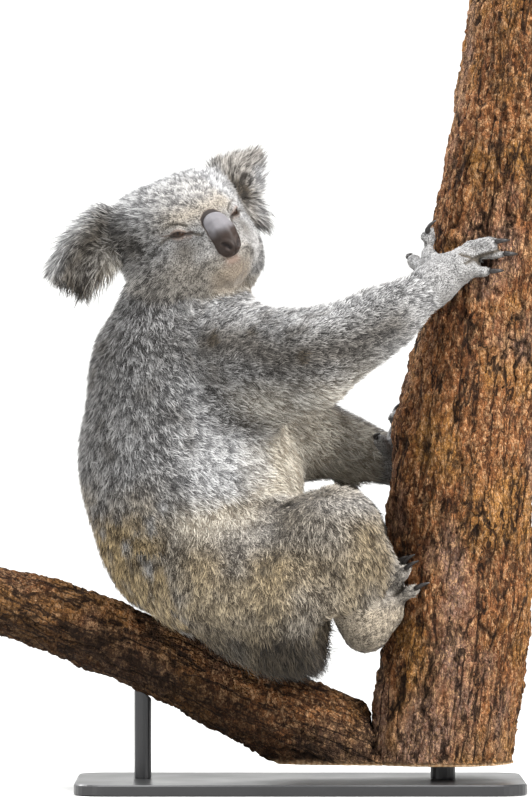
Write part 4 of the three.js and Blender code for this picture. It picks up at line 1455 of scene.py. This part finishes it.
def skin_material():
    """The short undercoat between the tufts, in the coat's own colours with part of their painted shade at
    the roots.
    """
    made, paint, shader = material("skin", 0.7, Sheen_Weight=0.15, Specular_IOR_Level=0.3)
    strand = paint.spread(paint.noise(700.0, 2.0), 0.35, 0.65)
    # along 0.35 gives the undercoat part of the coat's painted shade at the roots
    paint.feed(shader, "Base Color", fur_colour(paint, strand, 0.35))
    paint.feed(shader, "Normal", paint.bump(paint.noise(900.0, 3.0), 0.5, 0.0006))
    return made


def nose_material():
    """Bare grey skin with pores, nearly black low down and in the nostrils."""
    made, paint, shader = material("nose", 0.55, Specular_IOR_Level=0.28)
    low = paint.number("low")
    grain = paint.noise(260.0, 4.0)
    upper = paint.mix(grain, rgb(0.125, 0.120, 0.130), rgb(0.195, 0.185, 0.195))
    lower = paint.mix(grain, rgb(0.013, 0.008, 0.006), rgb(0.032, 0.019, 0.014))
    colour = paint.mix(low, upper, lower)
    colour = paint.mix(paint.number("nostril"), colour, rgb(0.012, 0.008, 0.008))
    paint.feed(shader, "Base Color", colour)
    place = paint.node("ShaderNodeNewGeometry").outputs["Position"]
    pores = paint.node("ShaderNodeTexVoronoi", Vector=place, Scale=1300.0)
    paint.feed(shader, "Normal", paint.bump(pores.outputs["Distance"], 0.35, 0.0003))
    paint.feed(shader, "Roughness", paint.spread(grain, 0.3, 0.7, 0.48, 0.64))
    return made


def eye_material():
    """A dark brown iris with an upright pupil, and little white."""
    made, paint, shader = material("eye", 0.30, Specular_IOR_Level=0.25)
    off = paint.number("off_axis")
    streak = paint.noise(900.0, 2.0)
    iris = paint.mix(streak, rgb(0.008, 0.004, 0.002), rgb(0.028, 0.012, 0.005))
    white = rgb(0.035, 0.020, 0.015)
    colour = paint.mix(paint.spread(off, 0.62, 0.72), iris, white)
    colour = paint.mix(paint.spread(paint.number("pupil"), 0.9, 1.1), rgb(0.004, 0.003, 0.003), colour)
    paint.feed(shader, "Base Color", colour)
    return made


def claw_material():
    """Nearly black horn."""
    gloss = {"Coat_Weight": 0.1, "Coat_Roughness": 0.35}
    made, paint, shader = material("claw", 0.38, Specular_IOR_Level=0.35, **gloss)
    grain = paint.noise(180.0, 5.0, (1, 1, 3))
    colour = paint.mix(grain, rgb(0.006, 0.005, 0.005), rgb(0.026, 0.022, 0.020))
    paint.feed(shader, "Base Color", colour)
    paint.feed(shader, "Normal", paint.bump(grain, 0.3, 0.0003))
    return made


# painted shade in the cracks, which the relief also sinks
CRACK_SHADE = rgb(0.012, 0.006, 0.004)
# painted shade in the bark's furrows, and on the branch's underside
FURROW_SHADE = rgb(0.014, 0.007, 0.004)
# painted shade in the hollows of the relief, and the colour of the fine dark grain
HOLLOW = rgb(0.030, 0.013, 0.006)
# painted shade in the gaps between crumbs
CRUMB_EDGE = rgb(0.050, 0.022, 0.010)
# painted highlight on some crumbs
CRUMB_HIGHLIGHT = rgb(0.95, 0.66, 0.38)
SAWN_WOOD = (rgb(0.42, 0.24, 0.12), rgb(0.62, 0.42, 0.24))
PITH = (0.26, 0, 0)  # the middle of the sawn faces' rings


def bark_group():
    """Crumbly bark whose cracks lean from upright, golden and dusty in patches, with a paler sawn face;
    painted shade darkens its cracks, furrows, hollows and the gaps between crumbs, and some crumbs get a
    painted highlight.
    """
    colours = dict.fromkeys(("Light", "Deep", "Golden", "Dusty"), "Color")
    numbers = dict.fromkeys(("Lean", "Flake", "Furrow", "Sawn"), "Float")
    group, paint, given = new_group("bark", colours | numbers, {"Colour": "Color", "Height": "Float"})
    golden_part = paint.spread(paint.noise(15.0, 4.0, (1, 1, 0.8)), 0.48, 0.60)
    dusty_part = paint.spread(paint.noise(11.0, 5.0, (1, 1, 0.7)), 0.50, 0.62)
    grain = paint.noise(420.0, 5.0, None, 0.8)
    coarse = paint.noise(150.0, 5.0, (1, 1, 0.4), 0.7)
    patch = paint.noise(19.0, 3.0)
    crumb, crumb_edge = paint.crumbs(310.0, 0.0045, (1, 1, 0.45))
    bit, bit_edge = paint.crumbs(650.0, 0.0020, (1, 1, 0.7))
    colour = paint.mix(given["Flake"], given["Deep"], given["Light"])
    colour = paint.mix(paint.math("MULTIPLY", golden_part, 0.65), colour, given["Golden"])
    colour = paint.mix(paint.math("MULTIPLY", dusty_part, 0.85), colour, given["Dusty"])
    shade = paint.math("ADD", paint.math("MULTIPLY", crumb, 0.55), paint.math("MULTIPLY", bit, 0.45))
    colour = paint.mix(paint.spread(shade, 0.18, 0.50, 0.75, 0.0), colour, given["Deep"])
    # painted highlight: the lightest crumbs
    bright = paint.mix(0.45, given["Light"], CRUMB_HIGHLIGHT)
    colour = paint.mix(paint.spread(shade, 0.52, 0.80, 0.0, 0.85), colour, bright)
    colour = paint.mix(paint.spread(coarse, 0.36, 0.48, 0.80, 0.0), colour, HOLLOW)
    colour = paint.mix(paint.spread(crumb_edge, 0.02, 0.14, 0.40, 0.0), colour, CRUMB_EDGE)
    colour = paint.mix(paint.spread(grain, 0.36, 0.52, 0.55, 0.0), colour, HOLLOW)
    long_cracks = paint.cracks(given["Lean"], 46.0, 0.034)
    long_cracks = paint.math("MULTIPLY", long_cracks, paint.spread(patch, 0.40, 0.52))
    short_cracks = paint.cracks(given["Lean"], 120.0, 0.045)
    short_cracks = paint.math("MULTIPLY", short_cracks, paint.spread(patch, 0.62, 0.46))
    crack = paint.math("MAXIMUM", long_cracks, paint.math("MULTIPLY", short_cracks, 0.8))
    colour = paint.mix(paint.math("MULTIPLY", crack, 0.9), colour, CRACK_SHADE)
    colour = paint.mix(given["Furrow"], colour, FURROW_SHADE)
    place = paint.node("ShaderNodeNewGeometry").outputs["Position"]
    centred = paint.node("ShaderNodeVectorMath", {"operation": "SUBTRACT"}, i0=place, i1=PITH).outputs[0]
    in_rings = {"wave_type": "RINGS", "rings_direction": "Z"}
    rings = paint.node("ShaderNodeTexWave", in_rings, Vector=centred, Scale=60.0, Distortion=2.0)
    colour = paint.mix(given["Sawn"], colour, paint.mix(rings.outputs["Fac"], *SAWN_WOOD))
    relief = paint.math("ADD", paint.math("MULTIPLY", paint.spread(crumb_edge, 0.0, 0.30), 0.7), crumb)
    relief = paint.math("ADD", relief, paint.math("MULTIPLY", paint.spread(bit_edge, 0.0, 0.30), 0.35))
    relief = paint.math("ADD", relief, paint.math("MULTIPLY", coarse, 3.0))
    relief = paint.math("SUBTRACT", relief, paint.math("MULTIPLY", crack, 1.6))
    relief = paint.math("MULTIPLY", relief, paint.spread(given["Sawn"], 0.0, 1.0, 1.0, 0.05))
    paint.node("NodeGroupOutput", Colour=colour, Height=relief)
    return group


BARK = bark_group()


def bark_material(name, lean, colours):
    """Bark of a length of the perch, from the shared group."""
    made, paint, shader = material(name, 0.9, Specular_IOR_Level=0.15)
    placed = paint.node("ShaderNodeGroup", {"node_tree": BARK}, Lean=lean)
    for label, colour in colours.items():
        paint.feed(placed, label, rgb(*colour))
    for mask in ("flake", "furrow", "sawn"):
        paint.feed(placed, mask.capitalize(), paint.number(mask))
    paint.feed(shader, "Base Color", placed.outputs["Colour"])
    paint.feed(shader, "Normal", paint.bump(placed.outputs["Height"], 1.0, 0.0026))
    return made


def stand_material():
    """Black lacquer with faint smudges."""
    made, paint, shader = material("stand_lacquer", 0.4, Metallic=0.0, Coat_Weight=0.2, Coat_Roughness=0.25)
    grain = paint.noise(340.0, 4.0)
    smudge = paint.noise(9.0, 4.0)
    paint.feed(shader, "Base Color", paint.mix(smudge, rgb(0.014, 0.014, 0.015), rgb(0.026, 0.026, 0.028)))
    paint.feed(shader, "Roughness", paint.spread(smudge, 0.3, 0.7, 0.30, 0.46))
    paint.feed(shader, "Normal", paint.bump(grain, 0.12, 0.0002))
    return made


# ---------------------------------------------------------------- nose, eyes and claws


def finish_nose():
    pad = object_from("nose_pad", NOSE_PAD)
    pad.data.materials.append(nose_material())
    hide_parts("nose")
    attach(pad, "root")


def eyeball(side, finish):
    """A ball with a clear bulge over its iris and an upright pupil."""
    out, along, across = eye_axes(side)
    built = bmesh.new()
    bmesh.ops.create_uvsphere(built, u_segments=48, v_segments=32, radius=1)
    ways = np.array([v.co for v in built.verts])
    facing = ways @ out
    bulge = 1 + 0.05 * ramp(facing, 0.70, 0.95)
    places = from_head(EYE_MIDDLE[side] + ways * ((EYE_RADIUS - EYE_SINK) * bulge)[:, None])
    for vertex, place in zip(built.verts, places):
        vertex.co = place
    mesh = bpy.data.meshes.new(f"eyeball_{side}")
    built.to_mesh(mesh)
    built.free()
    smooth_shaded(mesh)
    put_numbers(mesh, "off_axis", np.sqrt(np.clip(1 - facing**2, 0, 1)) + (facing < 0))
    put_numbers(mesh, "pupil", np.hypot((ways @ along) / 0.10, (ways @ across) / 0.34) + 3 * (facing < 0))
    ball = object_from(f"eyeball_{side}", mesh)
    ball.data.materials.append(finish)
    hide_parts(f"eye_{side}")
    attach(ball, "root")


def finish_claws():
    """The solids of the claws, rounded and given their horn."""
    horn = claw_material()
    for name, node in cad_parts.items():
        if not name.startswith("claw_"):
            continue
        node.data.materials.clear()
        node.data.materials.append(horn)
        weld = node.modifiers.new("weld", "WELD")
        weld.merge_threshold = 1e-5
        fuller = node.modifiers.new("fuller", "DISPLACE")
        fuller.strength = CLAW_GROWTH
        fuller.mid_level = 0
        rounded = node.modifiers.new("round", "SUBSURF")
        rounded.levels = 2
        rounded.render_levels = 2


# ---------------------------------------------------------------- bark and stand


def bark_height(points, grain_way, seed):
    """How far the bark stands out, with how deep its furrows are, for their painted shade, and a shade for
    each flake.
    """
    along = (points @ grain_way)[:, None]
    across = points - along * grain_way
    warp = np.stack([noise(points, 0.048, seed + i) for i in range(3)], axis=1)
    warp += 0.35 * np.stack([noise(points, 0.013, seed + 20 + i) for i in range(3)], axis=1)
    run = across + 0.011 * warp
    long_line = 1 - np.abs(noise(run / 0.017 + grain_way * along / 0.130, 1.0, seed + 4))
    short_line = 1 - np.abs(noise(run / 0.0080 + grain_way * along / 0.040, 1.0, seed + 5))
    crack = ramp(long_line, 0.91, 0.985) * ramp(noise(points, 0.055, seed + 6), -0.30, 0.30)
    split = ramp(short_line, 0.89, 0.98) * ramp(noise(points, 0.024, seed + 7), -0.10, 0.50)
    flakes = cells((across + 0.0018 * warp) / 0.0042 + grain_way * along / 0.0064, 1.0, seed + 13)
    scales = cells((across + 0.0040 * warp) / 0.0090 + grain_way * along / 0.0170, 1.0, seed + 17)
    gap = 1 - ramp(flakes[1] - flakes[0], 0.02, 0.34)
    height = 0.0028 * noise(points, 0.032, seed + 14) - 0.0030 * crack - 0.0014 * split - 0.0007 * gap
    height += 0.0012 * flakes[2] + 0.0013 * scales[2] + 0.0009 * noise(points, 0.0065, seed + 15)
    furrow = 0.8 * crack + 0.4 * split + 0.15 * gap
    shade = 0.5 + 0.34 * flakes[2] + 0.16 * scales[2] + 0.30 * noise(points, 0.020, seed + 16)
    return height, np.clip(furrow, 0, 1), np.clip(shade, 0, 1)


# The lengths of the perch: how the grain runs, how far the cracks lean from upright, a place on the sawn
# end and the way it faces, how strong the painted shade on the underside is, a seed, and the bark's colours
PERCH = {
    "perch_tree": {
        "grain": (0.12, 0, 1.0),
        "lean": -0.12,
        "end": (0.262, 0, 0.852),
        "facing": (0.110, 0, 0.560),
        "underside": 0.0,
        "seed": 100,
        "colours": {
            "Light": (0.60, 0.25, 0.09),
            "Deep": (0.20, 0.072, 0.028),
            "Golden": (0.68, 0.34, 0.08),
            "Dusty": (0.46, 0.30, 0.23),
        },
    },
    "perch_branch": {
        "grain": (0.92, 0, -0.40),
        "lean": 1.16,
        "end": (-0.345, 0, 0.204),
        "facing": (-0.98, 0, 0.2),
        "underside": 0.72,
        "seed": 200,
        "colours": {
            "Light": (0.46, 0.190, 0.068),
            "Deep": (0.046, 0.018, 0.008),
            "Golden": (0.58, 0.28, 0.080),
            "Dusty": (0.20, 0.125, 0.09),
        },
    },
}


def bark(node, grain_way, finish, seed, sawn_faces, underside):
    """A node of the perch with real bark on its sides, painted shade on its underside, and plain where it
    is sawn off.
    """
    points, faces = welded(node)
    mesh = remeshed(node + "_bark", mesh_from(node + "_bark", points, faces), BARK_VOXEL)
    points, edges, triangles = points_of(mesh), edges_of(mesh), triangles_of(mesh)
    sawn = np.zeros(len(points))
    for place, facing in sawn_faces:
        sawn = np.maximum(sawn, ramp((points - place) @ facing, -0.0050, -0.0016))
    points = relax(points, edges, 46 * (1 - ramp(sawn, 0, 0.5)))
    normals = normals_of(points, triangles)
    height, furrow, flake = bark_height(points, grain_way, seed)
    points = points + (height * (1 - sawn) + 0.0002 * noise(points, 0.004, 3) * sawn)[:, None] * normals
    set_points(mesh, points)
    smooth_shaded(mesh)
    # painted shade: the underside darkened, carried in the furrow shade mask
    under = underside * ramp(-normals[:, 2], -0.65, 0.45)
    put_numbers(mesh, "furrow", np.maximum(furrow, under) * (1 - sawn))
    put_numbers(mesh, "flake", flake)
    put_numbers(mesh, "sawn", sawn)
    made = object_from(node + "_bark", mesh)
    made.data.materials.append(finish)
    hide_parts(node)
    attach(made, "root")


def make_perch():
    """The bark of the tree and of its branch, each sawn off at both ends."""
    for node, wood in PERCH.items():
        finish = bark_material(f"{node.removeprefix('perch_')}_bark", wood["lean"], wood["colours"])
        foot = (np.array((0, 0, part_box(node)[0].z)), np.array((0, 0, -1.0)))
        end = (np.array(wood["end"]), unit(np.array(wood["facing"])))
        bark(node, unit(np.array(wood["grain"])), finish, wood["seed"], [foot, end], wood["underside"])


def finish_stand():
    lacquer = stand_material()
    for name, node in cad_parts.items():
        if name.startswith("stand_"):
            node.data.materials.clear()
            node.data.materials.append(lacquer)


# ---------------------------------------------------------------- studio


def make_camera():
    """A level camera whose upright picture, 532 by 800, is as high as the view."""
    lens = bpy.data.cameras.new("camera")
    lens.sensor_fit = "VERTICAL"
    lens.sensor_height = 24.0
    lens.lens = lens.sensor_height * VIEW_AWAY / VIEW_HEIGHT
    lens.clip_end = 60
    eye = object_from("camera", lens)
    x, _, z = VIEW_MIDDLE
    eye.location = (x, -VIEW_AWAY, z)
    eye.rotation_euler = (math.radians(90), 0, 0)
    bpy.context.scene.camera = eye


def floor_material():
    """Pale and matt, and clear from behind, so that the wall hides nothing from a camera past it."""
    made, paint, shader = material("floor", 0.8, Base_Color=rgb(0.66, 0.66, 0.65))
    behind = paint.node("ShaderNodeNewGeometry").outputs["Backfacing"]
    paint.feed(shader, "Alpha", paint.math("SUBTRACT", 1.0, behind))
    return made


def make_floor():
    """A pale floor that curves up into a wall behind the object."""
    front, half_width = -12.0, 14.0
    curve_start, radius, wall, steps = 1.6, 1.4, 6.0, 12
    profile = [(front, 0.0), (0.0, 0.0), (curve_start, 0.0)]
    for step in range(1, steps + 1):
        turn = math.pi / 2 * step / steps
        profile.append((curve_start + radius * math.sin(turn), radius * (1 - math.cos(turn))))
    profile.append((curve_start + radius, wall))
    points = np.array([(x, y, z) for y, z in profile for x in (-half_width, half_width)])
    faces = [(2 * i, 2 * i + 1, 2 * i + 3, 2 * i + 2) for i in range(len(profile) - 1)]
    mesh = mesh_from("floor", points, faces)
    smooth_shaded(mesh)
    floor = object_from("floor", mesh)
    floor.data.materials.append(floor_material())


def add_light(name, place, aim, size, power, colour=(1, 1, 1)):
    light = bpy.data.lights.new(name, "AREA")
    light.shape = "DISK"
    light.size = size
    light.energy = power
    light.color = colour
    lamp = object_from(name, light)
    lamp.location = place
    lamp.rotation_euler = (Vector(aim) - Vector(place)).to_track_quat("-Z", "Y").to_euler()


def make_lights():
    middle = (0.0, 0.0, 0.42)
    add_light("key", (2.2, -1.5, 1.9), middle, 1.3, 175, (1.0, 0.985, 0.965))
    add_light("sky", (-0.3, -0.4, 2.9), middle, 2.2, 88, (0.99, 0.995, 1.0))
    add_light("front", (-2.1, -2.5, 1.2), middle, 2.2, 34, (1.0, 0.99, 0.97))
    add_light("rim", (-1.8, 1.1, 1.8), middle, 1.3, 75)
    world = bpy.data.worlds.new("studio")
    world.use_nodes = True
    world.node_tree.nodes["Background"].inputs["Color"].default_value = rgb(0.86, 0.89, 0.93)
    world.node_tree.nodes["Background"].inputs["Strength"].default_value = 0.42
    bpy.context.scene.world = world
    bpy.context.scene.view_settings.view_transform = "Standard"


# ---------------------------------------------------------------- the koala


def make_koala():
    mesh, points, edges, triangles, rim = make_skin()
    normals = normals_of(points, triangles)
    shares = region_shares(points, edges, 6)
    marks = markings(points, normals, hollows(points, edges, normals), shares, rim)
    for name, values in marks.items():
        put_numbers(mesh, name, values)
    skin = object_from("skin", mesh)
    skin.data.materials.append(skin_material())
    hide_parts(*FLESH)
    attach(skin, "root")
    finish = coat_material()
    for piece in make_coat(points, edges, triangles, shares, marks, rim):
        piece.data.materials.append(finish)
        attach(piece, "root")
    wet = eye_material()
    for side in SIDES:
        eyeball(side, wet)
    finish_nose()
    finish_claws()


make_camera()
make_floor()
make_lights()
make_koala()
make_perch()
finish_stand()
